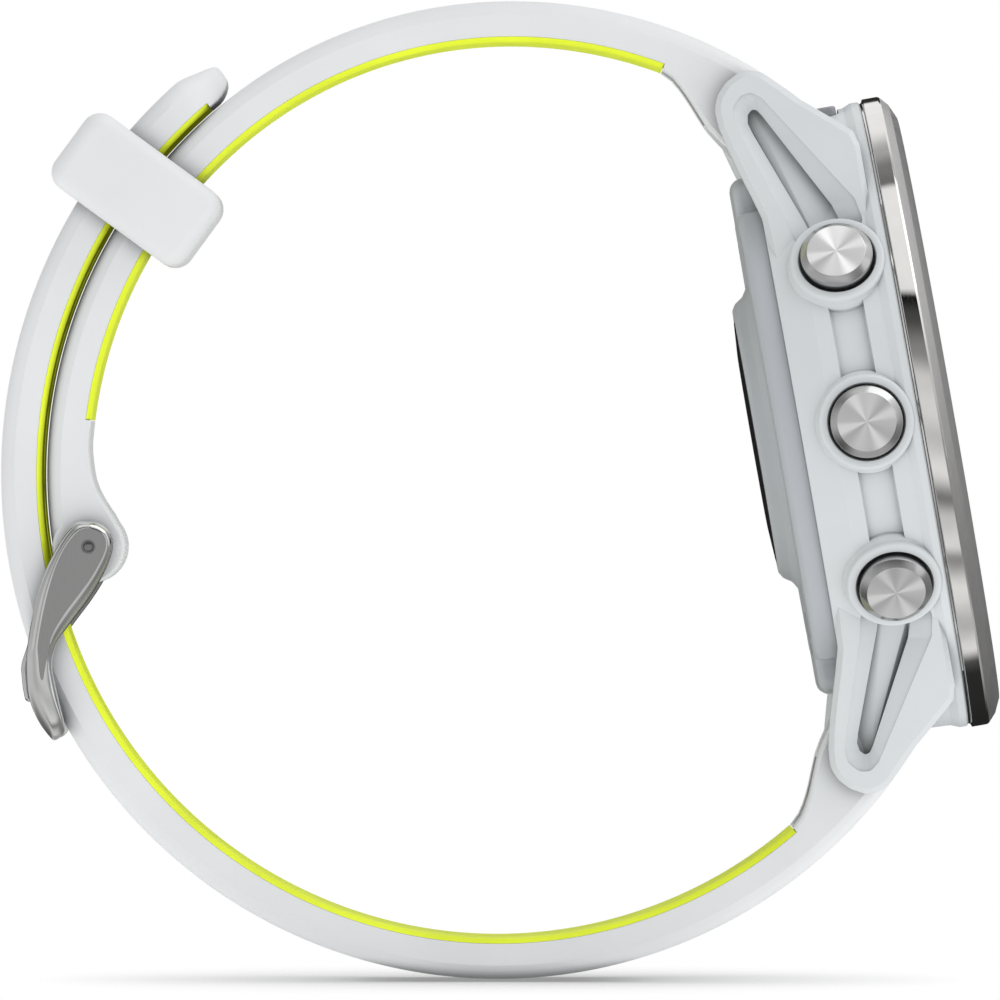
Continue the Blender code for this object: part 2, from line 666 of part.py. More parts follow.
def buckle():
    pin = polar(LOOP_CENTRE, PIN_ORBIT, PIN_ANGLE)
    hinge = bpy.data.objects.new("buckle_axis", None)
    PARTS.objects.link(hinge)
    hinge.location = Vector((pin[0], 0.0, pin[1])) * MM

    pin_rod = across("buckle_pin", PIN_R, pin[0], pin[1], ARM_IN + ARM_T + 0.25, 16, helper=False)
    finish(pin_rod, STEEL)

    eye = [(1.85 * math.cos(math.radians(a)), 1.85 * math.sin(math.radians(a))) for a in range(-20, 141, 32)]
    outer = [(-2.9, -1.3), (-3.95, -4.7), (-4.4, -8.3), (-4.1, -11.4), (-3.0, -13.4), (-2.2, -13.95)]
    inner = [(-1.7, -13.2), (-2.1, -11.4), (-2.55, -8.9), (-1.9, -6.0), (0.1, -3.1)]
    arm = outline_mesh("arm", eye + outer + inner, ARM_T, smooth=True)
    middle = ARM_IN + 0.5 * ARM_T
    frame = link("buckle_frame", arm, side_view(-middle), hinge, False)
    other = link("arm_far", arm, side_view(middle), hinge, True)
    turn = Matrix.Rotation(math.radians(90), 3, "X")
    at_bar = placed(-2.95, 0.0, -12.75, turn)
    at_pin = placed(rotation=turn)
    join(frame, other, rod("end_bar", 0.8, -middle, middle, 14, parent=hinge, helper=True, matrix=at_bar))
    cut(frame, rod("eye_bore", PIN_HOLE_R, -14.0, 14.0, 16, parent=hinge, helper=True, matrix=at_pin))
    finish(frame, STEEL)

    blade = [
        (0.0, 1.25), (-1.0, 0.6), (-1.6, -1.2), (-2.9, -4.0), (-4.6, -6.9), (-5.1, -9.0), (-4.95, -10.8),
        (-4.5, -12.1), (-4.0, -12.2), (-4.15, -10.6), (-4.2, -9.2), (-3.7, -7.4), (-2.0, -4.6), (-0.4, -1.6),
        (1.1, -0.4),
    ]
    mesh = outline_mesh("blade", blade, 2.0 * TONGUE_HALF, smooth=True)
    tongue = link("buckle_tongue", mesh, side_view(), hinge, False)
    cut(tongue, rod("tongue_bore", PIN_HOLE_R, -3.0, 3.0, 16, parent=hinge, helper=True, matrix=at_pin))
    finish(tongue, STEEL)


def keeper():
    """The free loop: a rounded rectangular band round both strap layers, made about the loop's centre."""
    axis = bpy.data.objects.new("keeper_axis", None)
    PARTS.objects.link(axis)
    axis.location = Vector((LOOP_CENTRE[0], 0.0, LOOP_CENTRE[1])) * MM
    axis.rotation_euler = (0.0, -math.radians(KEEPER_ANGLE), 0.0)
    length = 0.5 * KEEPER_LENGTH
    low = (KEEPER_NEAR, -KEEPER_HALF, -length)
    high = (KEEPER_FAR, KEEPER_HALF, length)
    band = rounded(block("strap_keeper", low, high, parent=axis), 1.2, 3)
    room_low = (KEEPER_ROOM_NEAR, -KEEPER_ROOM_HALF, -5.0)
    room_high = (KEEPER_ROOM_FAR, KEEPER_ROOM_HALF, 5.0)
    cut(band, block("keeper_room", room_low, room_high, parent=axis, helper=True))
    finish(band, SILICONE)


case_body()
back_cover()
screws_and_contacts()
bezel_and_display()
sensor()
internals()
buttons()
straps()
buckle()
keeper()
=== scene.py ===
import json
import math

import bmesh
import bpy
from mathutils import Matrix, Vector


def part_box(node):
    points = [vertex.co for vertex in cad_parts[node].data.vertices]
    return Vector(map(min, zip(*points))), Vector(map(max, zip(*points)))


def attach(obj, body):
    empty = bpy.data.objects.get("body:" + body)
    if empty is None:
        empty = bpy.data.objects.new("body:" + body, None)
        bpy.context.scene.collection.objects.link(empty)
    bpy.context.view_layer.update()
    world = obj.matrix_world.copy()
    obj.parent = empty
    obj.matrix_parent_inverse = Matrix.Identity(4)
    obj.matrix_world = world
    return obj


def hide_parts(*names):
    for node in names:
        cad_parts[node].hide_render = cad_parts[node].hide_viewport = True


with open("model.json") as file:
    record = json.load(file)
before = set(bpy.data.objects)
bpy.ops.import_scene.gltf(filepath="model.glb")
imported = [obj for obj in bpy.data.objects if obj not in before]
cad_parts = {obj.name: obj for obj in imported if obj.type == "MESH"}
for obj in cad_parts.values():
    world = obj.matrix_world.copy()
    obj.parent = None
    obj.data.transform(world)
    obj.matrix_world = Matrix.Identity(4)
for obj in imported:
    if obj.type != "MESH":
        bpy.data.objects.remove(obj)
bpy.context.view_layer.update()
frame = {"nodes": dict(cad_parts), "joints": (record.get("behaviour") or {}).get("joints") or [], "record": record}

MM = 0.001
MOUNTS = {m["name"]: m for m in frame["record"]["mounts"]}
JOINTS = {j["name"]: j for j in frame["joints"]}


def mm(vector):
    """A place of the frame, turned from metres to millimetres."""
    return Vector(vector) / MM


# ---- frames and driving sizes (millimetres)

NORMAL = Vector(MOUNTS["display_front"]["axis"]).normalized()
CRYSTAL_Z = (mm(MOUNTS["display_front"]["pos_m"]) - mm(MOUNTS["case_back"]["pos_m"])).dot(NORMAL)
CASE_X = Vector((0.0, 1.0, 0.0))
CASE_Y = NORMAL.cross(CASE_X)
CASE_ORIGIN = mm(MOUNTS["display_front"]["pos_m"]) - NORMAL * CRYSTAL_Z
CASE = Matrix.Translation(CASE_ORIGIN * MM) @ Matrix((CASE_X, CASE_Y, NORMAL)).transposed().to_4x4()

LOOP = mm(JOINTS["keeper_slide"]["pos_m"])
LOOP_CENTRE = (LOOP.x, LOOP.z)
PIN = mm(JOINTS["buckle_swing"]["pos_m"])
PIN_PLACE = Matrix.Translation(PIN * MM) @ Matrix.Rotation(math.radians(-90), 4, "X")
TAIL_LOW = mm(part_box("strap_hole_half")[0])

STRAP_T = 3.0
HALF_T = 0.5 * STRAP_T
LINER_T = 0.42
OUTER_R = LOOP.x - TAIL_LOW.x - HALF_T
INNER_R = OUTER_R - STRAP_T - 0.35
LUG_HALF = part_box("strap_buckle_half")[1].y / MM
NARROW_HALF = LUG_HALF - 1.0

BUTTONS = ("upper_left", "middle_left", "lower_left", "upper_right", "lower_right")
BUTTON_Z = 6.56
SCREW_AT = 14.0
BEZEL_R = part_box("bezel")[1].y / MM
FRONT_Z = 12.9
BAND_TOP = 11.84

# ---- mesh helpers


def fillet(points, radius, closed=True, steps=4):
    """Rounds the corners of a flat outline; a corner may carry its own radius as a third value."""
    rounded = []
    last = len(points) - 1
    for i, point in enumerate(points):
        size = point[2] if len(point) > 2 else radius
        corner = Vector(point[:2])
        if size <= 0.0 or (not closed and i in (0, last)):
            rounded.append(tuple(corner))
            continue
        back = Vector(points[i - 1][:2]) - corner
        ahead = Vector(points[(i + 1) % len(points)][:2]) - corner
        angle = back.angle(ahead)
        if angle > math.radians(178):
            rounded.append(tuple(corner))
            continue
        run = min(size / math.tan(0.5 * angle), 0.47 * back.length, 0.47 * ahead.length)
        size = run * math.tan(0.5 * angle)
        inwards = (back.normalized() + ahead.normalized()).normalized()
        middle = corner + inwards * (size / math.sin(0.5 * angle))
        start = corner + back.normalized() * run - middle
        end = corner + ahead.normalized() * run - middle
        turn = math.pi - angle
        for k in range(steps + 1):
            share = k / steps
            arm = start * math.sin((1 - share) * turn) + end * math.sin(share * turn)
            rounded.append(tuple(middle + arm / math.sin(turn)))
    return rounded


def inset(points, amount):
    """The outline moved inwards by amount, for an outline that runs anticlockwise."""
    moved = []
    for i, point in enumerate(points):
        before = (Vector(point) - Vector(points[i - 1])).normalized()
        after = (Vector(points[(i + 1) % len(points)]) - Vector(point)).normalized()
        side = Vector((-before.y - after.y, before.x + after.x))
        if side.length < 0.0001:
            side = Vector((-before.y, before.x))
        side.normalize()
        share = max(0.4, side.dot(Vector((-before.y, before.x))))
        moved.append(tuple(Vector(point) + side * (amount / share)))
    return moved


def pulled_in(points, gap):
    return inset(points, gap) if gap else points


def anticlockwise(points):
    """The outline, turned round if it runs clockwise."""
    area = sum(a[0] * b[1] - a[1] * b[0] for a, b in zip(points, points[1:] + points[:1]))
    return list(points) if area > 0 else list(points)[::-1]


def grid(name, rows, join_ends=False, cap=True):
    """A skin over rows of points in millimetres; each row closes on itself."""
    bm = bmesh.new()
    made = [[bm.verts.new(Vector(p) * MM) for p in row] for row in rows]
    pairs = list(zip(made, made[1:])) + ([(made[-1], made[0])] if join_ends else [])
    for low, high in pairs:
        for i in range(len(low)):
            j = (i + 1) % len(low)
            bm.faces.new((low[i], low[j], high[j], high[i]))
    if cap and not join_ends:
        bm.faces.new(made[0][::-1])
        bm.faces.new(made[-1])
    bmesh.ops.remove_doubles(bm, verts=bm.verts, dist=0.0000005)
    bmesh.ops.dissolve_degenerate(bm, edges=bm.edges, dist=0.0000002)
    bmesh.ops.recalc_face_normals(bm, faces=bm.faces)
    mesh = bpy.data.meshes.new(name)
    bm.to_mesh(mesh)
    bm.free()
    return mesh


def lathe(name, profile, segments=192, closed=False, start=0.0, stop=360.0):
    """A turned mesh round local z from a (radius, z) profile; closed profiles make a ring."""
    whole = stop - start >= 360.0
    count = segments if whole else max(3, round(segments * (stop - start) / 360.0))
    steps = [math.radians(start + (stop - start) * k / count) for k in range(count + (0 if whole else 1))]
    if whole:
        rows = [[(r * math.cos(a), r * math.sin(a), z) for a in steps] for r, z in profile]
        return grid(name, rows, join_ends=closed, cap=False)
    rows = [[(r * math.cos(a), r * math.sin(a), z) for r, z in profile] for a in steps]
    return grid(name, rows)


def plate(name, outline, low, high, edge=0.2, steps=3, place=None):
    """A flat outline given thickness, with rounded rims; place turns (u, v, height) into a point."""
    outline = anticlockwise(outline)
    levels = []
    for k in range(steps + 1):
        turn = math.radians(90.0 * k / steps)
        levels.append((edge * (1 - math.sin(turn)), low + edge * (1 - math.cos(turn))))
    levels += [(gap, low + high - height) for gap, height in levels[::-1]]
    if edge == 0.0:
        levels = [(0.0, low), (0.0, high)]
    place = place or (lambda u, v, w: (u, v, w))
    rows = [[place(u, v, height) for u, v in pulled_in(outline, gap)] for gap, height in levels]
    return grid(name, rows)


def temporary(mesh, matrix=None):
    obj = bpy.data.objects.new(mesh.name, mesh)
    bpy.context.scene.collection.objects.link(obj)
    obj.matrix_world = matrix or Matrix.Identity(4)
    return obj


def combine(name, base, steps):
    """Applies ("UNION" or "DIFFERENCE", mesh, matrix) steps to a base mesh, and gives the new mesh.

    The solver works on a copy a thousand times as large, where its tolerances are small beside the detail.
    """
    grown = Matrix.Scale(1.0 / MM, 4)
    base.transform(grown)
    body = temporary(base)
    tools = []
    for operation, mesh, matrix in steps:
        tool = temporary(mesh, grown @ (matrix or Matrix.Identity(4)))
        modifier = body.modifiers.new(operation, "BOOLEAN")
        modifier.operation = operation
        modifier.solver = "EXACT"
        modifier.object = tool
        tools.append(tool)
    bpy.context.view_layer.update()
    graph = bpy.context.evaluated_depsgraph_get()
    mesh = bpy.data.meshes.new_from_object(body.evaluated_get(graph))
    mesh.name = name
    bm = bmesh.new()
    bm.from_mesh(mesh)
    bmesh.ops.remove_doubles(bm, verts=bm.verts, dist=0.001)
    bmesh.ops.dissolve_degenerate(bm, edges=bm.edges, dist=0.0005)
    bm.to_mesh(mesh)
    bm.free()
    mesh.transform(grown.inverted())
    mesh.materials.clear()
    for tool in tools + [body]:
        bpy.data.objects.remove(tool, do_unlink=True)
    return mesh


def join(mesh, place=None):
    return ("UNION", mesh, place)


def cut(mesh, place=None):
    return ("DIFFERENCE", mesh, place)


def at_mm(x, y, z=0.0):
    """A placement moved by millimetres."""
    return Matrix.Translation((x * MM, y * MM, z * MM))


def turned(name, profile, segments):
    """A turned mesh from a (radius, z) profile whose corners may carry a fillet radius."""
    return lathe(name, fillet(profile, 0.0, False), segments)


def show(name, mesh, body, nodes, material, matrix=None, sharp=32.0, weighted=False):
    """A finished piece: placed, given its material, and riding on its CAD body in place of its CAD nodes."""
    obj = temporary(mesh, matrix)
    obj.name = name
    for each in material if isinstance(material, (list, tuple)) else [material]:
        mesh.materials.append(each)
    mesh.shade_smooth()
    mesh.set_sharp_from_angle(angle=math.radians(sharp))
    if weighted:
        modifier = obj.modifiers.new("Weighted", "WEIGHTED_NORMAL")
        modifier.keep_sharp = True
    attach(obj, body)
    if nodes:
        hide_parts(*nodes)
    return obj


# ---- materials

# Painted highlight and shade levels in wedges round a turned face, multiplied into its colour.
PAINTED_FAN_STOPS = [
    (0.0, 0.86), (0.06, 1.15), (0.12, 0.78), (0.21, 0.84), (0.27, 1.3), (0.33, 0.7), (0.42, 0.92), (0.5, 0.8),
    (0.56, 1.12), (0.63, 0.72), (0.72, 0.86), (0.78, 1.2), (0.85, 0.74), (0.93, 0.95), (1.0, 0.86),
]


class Nodes:
    """Shader nodes of one tree, made and wired in few words."""

    def __init__(self, tree):
        self.tree = tree

    def node(self, kind, **values):
        made = self.tree.nodes.new(kind)
        for key, value in values.items():
            setattr(made, key, value)
        return made

    def wire(self, source, target):
        """Feeds an input from another node's output, or gives it a value."""
        if isinstance(source, bpy.types.NodeSocket):
            self.tree.links.new(source, target)
        else:
            target.default_value = source

    def feed(self, node, *sources, **named):
        """Feeds a node's inputs, in order or by name; _ in a name stands for a space."""
        for source, target in zip(sources, node.inputs):
            self.wire(source, target)
        for key, source in named.items():
            self.wire(source, node.inputs[key.replace("_", " ")])

    def spread(self, source, low, high, start=0.3, end=0.7, **values):
        """Maps start..end of source to low..high."""
        made = self.node("ShaderNodeMapRange", **values)
        self.feed(made, Value=source, From_Min=start, From_Max=end, To_Min=low, To_Max=high)
        return made.outputs["Result"]

    def maths(self, operation, *sources):
        made = self.node("ShaderNodeMath", operation=operation)
        self.feed(made, *sources)
        return made.outputs["Value"]

    def vectors(self, operation, *sources, result="Vector"):
        made = self.node("ShaderNodeVectorMath", operation=operation)
        self.feed(made, *sources)
        return made.outputs[result]

    def mix(self, factor, a, b, **values):
        made = self.node("ShaderNodeMix", data_type="RGBA", **values)
        self.feed(made, Factor=factor, A=a, B=b)
        return made.outputs["Result"]

    def ramp(self, source, stops):
        """A smooth grey ramp through (position, value) stops."""
        made = self.node("ShaderNodeValToRGB")
        made.color_ramp.interpolation = "EASE"
        marks = made.color_ramp.elements
        while len(marks) < len(stops):
            marks.new(0.5)
        for mark, (position, value) in zip(marks, stops):
            mark.position = position
            mark.color = (value, value, value, 1.0)
        self.wire(source, made.inputs["Fac"])
        return made.outputs["Color"]

    def ray(self, kind):
        return self.node("ShaderNodeLightPath").outputs[f"Is {kind} Ray"]


class Shader(Nodes):
    """A material round one principled node."""

    def __init__(self, name, colour, roughness, metallic=0.0):
        self.material = bpy.data.materials.new(name)
        self.material.use_nodes = True
        self.material.diffuse_color = (*colour, 1.0)
        super().__init__(self.material.node_tree)
        self.bsdf = self.tree.nodes["Principled BSDF"]
        self.base = self.bsdf.inputs["Base Color"]
        self.set(Roughness=roughness, Metallic=metallic, Base_Color=(*colour, 1.0))
        self.colour = colour
        self.roughness = roughness
        self.coords = self.node("ShaderNodeTexCoord").outputs["Object"]

    def set(self, **values):
        self.feed(self.bsdf, **values)

    def noise(self, scale, detail=3.0, stretch=(1.0, 1.0, 1.0), roughness=0.5):
        mapping = self.node("ShaderNodeMapping")
        self.feed(mapping, Vector=self.coords, Scale=stretch)
        made = self.node("ShaderNodeTexNoise")
        self.feed(made, Vector=mapping.outputs["Vector"], Scale=scale, Detail=detail, Roughness=roughness)
        return made.outputs["Fac"]

    def tint(self, source, amount):
        """Varies the base colour by plus or minus amount, following source."""
        dark = (*[c * (1 - amount) for c in self.colour], 1.0)
        light = (*[min(1.0, c * (1 + amount)) for c in self.colour], 1.0)
        self.wire(self.mix(self.spread(source, 0.0, 1.0), dark, light), self.base)

    def painted_fan_highlights(self, stops):
        """Painted highlights and shade in light and dark wedges round the local z axis, like those a turned face
        shows.
        """
        turn = self.node("ShaderNodeTexGradient", gradient_type="RADIAL")
        self.wire(self.coords, turn.inputs["Vector"])
        wedges = self.ramp(turn.outputs["Fac"], stops)
        self.wire(self.mix(1.0, self.base.links[0].from_socket, wedges, blend_type="MULTIPLY"), self.base)

    def keep_colour_to_camera(self, share):
        """Greys the base colour by share where other surfaces pick it up."""
        own = self.base.links[0].from_socket
        grey = self.mix(share, own, (0.6, 0.6, 0.6, 1.0))
        self.wire(self.mix(self.ray("Camera"), grey, own), self.base)

    def nearness(self, reach):
        """1 in the open, and less where other surfaces are within reach, in millimetres."""
        made = self.node("ShaderNodeAmbientOcclusion", samples=6)
        self.wire(reach * MM, made.inputs["Distance"])
        return made.outputs["AO"]

    def painted_crevice_shade(self, reach, floor, span=(0.15, 0.85)):
        """Painted shade where surfaces meet: the base colour falls to the share floor there."""
        made = self.node("ShaderNodeVectorMath", operation="SCALE")
        share = self.spread(self.nearness(reach), floor, 1.0, *span)
        self.feed(made, self.base.links[0].from_socket, Scale=share)
        self.wire(made.outputs["Vector"], self.base)

    def rough(self, source, amount):
        self.set(Roughness=self.spread(source, self.roughness - amount, self.roughness + amount))

    def bump(self, source, strength, distance):
        made = self.node("ShaderNodeBump")
        self.feed(made, Strength=strength, Distance=distance * MM, Height=source)
        self.set(Normal=made.outputs["Normal"])

    def turned_grain(self):
        """Scratches that run round the local z axis."""
        tangent = self.node("ShaderNodeTangent", direction_type="RADIAL", axis="Z")
        self.set(Tangent=tangent.outputs["Tangent"])

    def surface(self, factor, a, b):
        """Ends the material in a blend of two shaders."""
        made = self.node("ShaderNodeMixShader")
        self.feed(made, factor, a, b)
        self.wire(made.outputs["Shader"], self.tree.nodes["Material Output"].inputs["Surface"])


def moulded(
    name, colour, roughness, grain=5200.0, bump=0.12, sheen=0.0, tint=0.02, shy=0.0, shade=None, glow=0.0
):
    """Moulded plastic or silicone: fine spark-eroded grain, slow colour drift and patchy gloss.

    shy is the share of the colour kept from other surfaces; shade is the reach and the floor of the
    painted shade where surfaces meet; glow is light of its own for displays, and with shy it is a
    painted glow that only the camera sees.
    """
    shader = Shader(name, colour, roughness)
    shader.tint(shader.noise(160.0, 4.0), tint)
    if shy:
        shader.keep_colour_to_camera(shy)
    if shade:
        # painted shade: the base colour darkens where other surfaces are near
        shader.painted_crevice_shade(*shade)
    shader.rough(shader.noise(420.0, 5.0), 0.06)
    shader.bump(shader.noise(grain, 2.0), bump, 0.02)
    # with shy the glow is painted light that only the camera sees
    if shy:
        glow = shader.spread(shader.ray("Camera"), 0.0, glow, 0.0, 1.0)
    shader.set(Sheen_Weight=sheen, Sheen_Roughness=0.4, Emission_Color=(*colour, 1.0), Emission_Strength=glow)
    return shader.material


def brushed(name, colour, roughness, stretch, scale=900.0, bump=0.25, anisotropic=0.5, radial=False):
    """Metal with long fine scratches along the axis that stretch leaves small."""
    shader = Shader(name, colour, roughness, 1.0)
    streaks = shader.noise(scale, 6.0, stretch, 0.65)
    shader.tint(streaks, 0.10)
    shader.rough(streaks, 0.07)
    shader.bump(streaks, bump, 0.01)
    shader.set(Anisotropic=anisotropic)
    if radial:
        shader.turned_grain()
    return shader.material


def polished(name, colour, roughness=0.06):
    """Bright metal with faint smears and hairlines."""
    shader = Shader(name, colour, roughness, 1.0)
    shader.tint(shader.noise(700.0, 3.0), 0.03)
    shader.rough(shader.noise(1500.0, 6.0, (1.0, 1.0, 6.0)), 0.03)
    shader.bump(shader.noise(2600.0, 2.0), 0.03, 0.005)
    return shader.material


def spun(name, colour):
    """A face turned on a lathe: rings round the local z axis and a radial grain, plus painted highlight and shade
    wedges in the colour.
    """
    shader = Shader(name, colour, 0.3, 1.0)
    rings = shader.node("ShaderNodeTexWave", wave_type="RINGS", rings_direction="Z")
    shader.feed(rings, Vector=shader.coords, Scale=2600.0, Distortion=1.5, Detail=2.0)
    shader.tint(rings.outputs["Fac"], 0.05)
    # painted highlight and shade wedges round the cap's axis
    shader.painted_fan_highlights(PAINTED_FAN_STOPS)
    shader.bump(rings.outputs["Fac"], 0.06, 0.004)
    shader.set(Anisotropic=0.85)
    shader.turned_grain()
    return shader.material


def clear_glass(name):
    """Anti-reflection coated crystal: light passes straight through under a thin gloss."""
    shader = Shader(name, (1.0, 1.0, 1.0), 0.03)
    clear = shader.node("ShaderNodeBsdfTransparent")
    shader.wire((0.93, 0.94, 0.95, 1.0), clear.inputs["Color"])
    gloss = shader.node("ShaderNodeBsdfGlossy")
    shader.wire(shader.spread(shader.noise(240.0, 4.0), 0.02, 0.06), gloss.inputs["Roughness"])
    edge = shader.node("ShaderNodeFresnel")
    shader.wire(1.4, edge.inputs["IOR"])
    shader.surface(edge.outputs["Fac"], clear.outputs["BSDF"], gloss.outputs["BSDF"])
    return shader.material


# The shade values paint shade into the stone, cover and silicone colours where surfaces meet.
STONE = moulded("stone_polymer", (0.665, 0.695, 0.71), 0.36, 4200.0, 0.10, shade=(1.4, 0.32))
COVER = moulded("cover_polymer", (0.46, 0.485, 0.51), 0.45, 4200.0, 0.12, shade=(0.8, 0.62))
SILICONE = moulded("stone_silicone", (0.77, 0.785, 0.795), 0.55, 6500.0, 0.10, sheen=0.2, shade=(1.9, 0.3))
# The lime silicone: painted shade where surfaces meet, and a painted glow that only the camera sees.
LIME = moulded(
    "lime_silicone", (0.80, 0.93, 0.02), 0.5, 2600.0, 0.3, tint=0.08, shy=0.8, shade=(1.5, 0.06), glow=0.09
)
BLACK = moulded("black_plastic", (0.012, 0.012, 0.014), 0.4)
RUBBER = moulded("seal_rubber", (0.02, 0.02, 0.02), 0.6)
BOARD = moulded("board_green", (0.02, 0.13, 0.07), 0.4, grain=900.0, tint=0.25)
LENS = moulded("lens_polymer", (0.30, 0.30, 0.33), 0.16, grain=1500.0, bump=0.05)
TITANIUM_POLISHED = polished("titanium_polished", (0.80, 0.79, 0.77))
TITANIUM_BRUSHED = brushed("titanium_brushed", (0.55, 0.545, 0.54), 0.36, (1.0, 1.0, 40.0), radial=True)
STEEL_POLISHED = polished("steel_polished", (0.68, 0.68, 0.675), 0.14)
STEEL_BRUSHED = brushed("steel_brushed", (0.37, 0.37, 0.368), 0.34, (30.0, 30.0, 1.0))
STEEL_SPUN = spun("steel_spun", (0.86, 0.86, 0.86))
STEEL_SATIN = polished("steel_satin", (0.52, 0.52, 0.52), 0.2)
STEEL_DARK = polished("steel_dark", (0.25, 0.25, 0.25), 0.25)
GOLD = polished("contact_gold", (0.90, 0.66, 0.28), 0.16)
FOIL = brushed("battery_foil", (0.62, 0.63, 0.65), 0.38, (1.0, 1.0, 1.0), scale=500.0)
SENSOR_GLASS = moulded("sensor_glass", (0.006, 0.006, 0.008), 0.07, grain=900.0, bump=0.01)
CRYSTAL = clear_glass("crystal_glass")
DIAL_WHITE = moulded("dial_white", (0.85, 0.87, 0.88), 0.5, tint=0.04, glow=0.5)
DIAL_LIME = moulded("dial_lime", (0.62, 0.85, 0.03), 0.5, tint=0.06, glow=0.5)


# ---- case

LUG_IN_X = 11.3
LUG_OUT_X = 14.3
LUG_SPLAY = 0.27
LUG_TIP_Y = 26.4
BAR_Y = 24.2
BAR_Z = 2.5


def splay(x, y, share=1.0):
    """The lug's outer side leans out towards the case wall."""
    return x + share * LUG_SPLAY * max(0.0, LUG_TIP_Y - abs(y))


LUG_OUTLINE = [
    (2.0, 10.5, 0), (1.75, 15.8, 2), (1.3, 17.5, 4), (0.65, 19.6, 4), (0.15, 21.4, 4), (-0.15, 22.9, 3),
    (-0.25, 24.2, 2), (0.15, 25.2, 1.5), (0.9, 26.0, 1.5), (2.3, 26.75, 1.6), (3.6, 26.3, 2), (6.0, 23.85, 4),
    (8.0, 22.15, 4), (9.35, 20.95, 0.5), (9.65, 19.9, 0.8), (9.65, 10.5, 0),
]
RECESS_RIM = [
    (3.9, 13.2), (3.4, 15.4), (1.25, 22.1), (0.95, 23.2), (1.05, 24.1), (1.75, 24.85), (2.55, 25.0),
    (3.25, 24.45), (8.6, 16.1), (9.0, 14.0),
]
RECESS_FLOOR = [
    (5.2, 13.2), (4.75, 15.0), (2.15, 22.1), (1.95, 22.8), (2.05, 23.4), (2.4, 23.75), (2.75, 23.65),
    (3.05, 23.2), (6.9, 15.9), (7.5, 14.0),
]


def slot_depth(y):
    """The slot is deepest half way along and runs out towards the lug's tip and the button."""
    return -1.3 - 1.4 * smooth(y, 14.0, 18.5) + 0.95 * smooth(y, 20.5, 23.4)


def lug_steps():
    """The four lugs as unions, then their recesses and slots as cuts."""
    outline = fillet(LUG_OUTLINE, 1.0)
    rim = fillet(RECESS_RIM, 0.7)
    floor = fillet(RECESS_FLOOR, 0.35)
    unions, cuts = [], []
    for side in (-1, 1):
        for hand in (-1, 1):

            def lug_point(z, y, x, side=side, hand=hand):
                return (hand * splay(x, y, (x - LUG_IN_X) / (LUG_OUT_X - LUG_IN_X)), side * y, z)

            unions.append(join(plate("lug", outline, LUG_IN_X, LUG_OUT_X, 0.4, 1, lug_point)))
            levels = [(rim, 0.6), (rim, -0.15), (floor, -0.95), (floor, None)]
            rows = [
                [
                    (hand * splay(LUG_OUT_X + (slot_depth(y) if depth is None else depth), y), side * y, z)
                    for z, y in line
                ]
                for line, depth in levels
            ]
            cuts.append(cut(grid("recess", rows)))
    return unions, cuts


def rod(name, radius, half_length):
    profile = [(0, half_length), (radius, half_length), (radius, -half_length), (0, -half_length)]
    return lathe(name, profile, 48)


def bar_place(side):
    """In the case frame: local z lies along the lug bar of this side."""
    return at_mm(0.0, side * BAR_Y, BAR_Z) @ Matrix.Rotation(math.radians(90), 4, "Y")


def radial_matrix(angle):
    """In the case frame: local z points outwards at this angle, at the buttons' height."""
    a = math.radians(angle)
    out = Vector((math.cos(a), math.sin(a), 0.0))
    up = Vector((0.0, 0.0, 1.0))
    x = up.cross(out)
    return at_mm(0.0, 0.0, BUTTON_Z) @ Matrix((x, up, out)).transposed().to_4x4()


def button_angle(name):
    axis = -Vector(JOINTS[f"press_{name}"]["axis"])
    return math.degrees(math.atan2(axis.dot(CASE_Y), axis.dot(CASE_X)))


def case_body():
    wall = [
        (0.0, 10.33), (23.0, 10.33), (23.12, 10.2, 0.05), (23.12, 9.7, 0.12), (22.86, 9.07, 0.12),
        (22.62, 4.07, 0.15), (21.9, 1.76, 0.15), (0.0, 1.76),
    ]
    base = turned("wall", wall, 240)
    guard = [(0, 23.33), (3.46, 23.33, 0.28), (3.5, 22.75, 0.2), (3.72, 22.3, 0.1), (3.72, 18.9), (0, 18.9)]
    bore = [(0, 26), (3.1, 26), (3.1, 23.6), (2.76, 23.22, 0.15), (2.76, 21.2), (0, 21.2)]
    shaft = [(0, 22.0), (0.9, 22.0), (0.9, 18.0), (0, 18.0)]
    panel = fillet([(24.0, 7.85), (22.3, 7.85, 0.12), (22.3, 5.3, 0.12), (24.0, 5.3)], 0.0)
    unions, cuts = lug_steps()
    unions += [cut(lathe("panel", panel, 360, start=a - 30, stop=a + 30)) for a in (0.0, 180.0)]
    for name in BUTTONS:
        place = radial_matrix(button_angle(name))
        unions.append(join(turned("guard", guard, 96), place))
        cuts += [cut(turned("bore", bore, 96), place), cut(lathe("shaft", shaft, 32), place)]
    room = lathe("cavity", [(0, 12), (20.6, 12), (20.6, 3.6), (17.3, 3.6), (17.3, -3), (0, -3)], 240)
    frame_of_lens = fillet([(-4.4, 6.9), (4.4, 6.9), (4.4, 8.7), (-4.4, 8.7)], 0.6)
    window = plate("window", frame_of_lens, 19.0, 25.0, 0.0, place=lambda u, v, w: (u, w, v))
    cuts += [cut(room), cut(window)]
    for side in (-1, 1):
        cuts.append(cut(rod("bar_hole", 0.91, 12.4), bar_place(side)))
    mesh = combine("case_body", base, unions + cuts)
    show("case_shell", mesh, "watch", ["case_body"], STONE, CASE, 24.0, True)


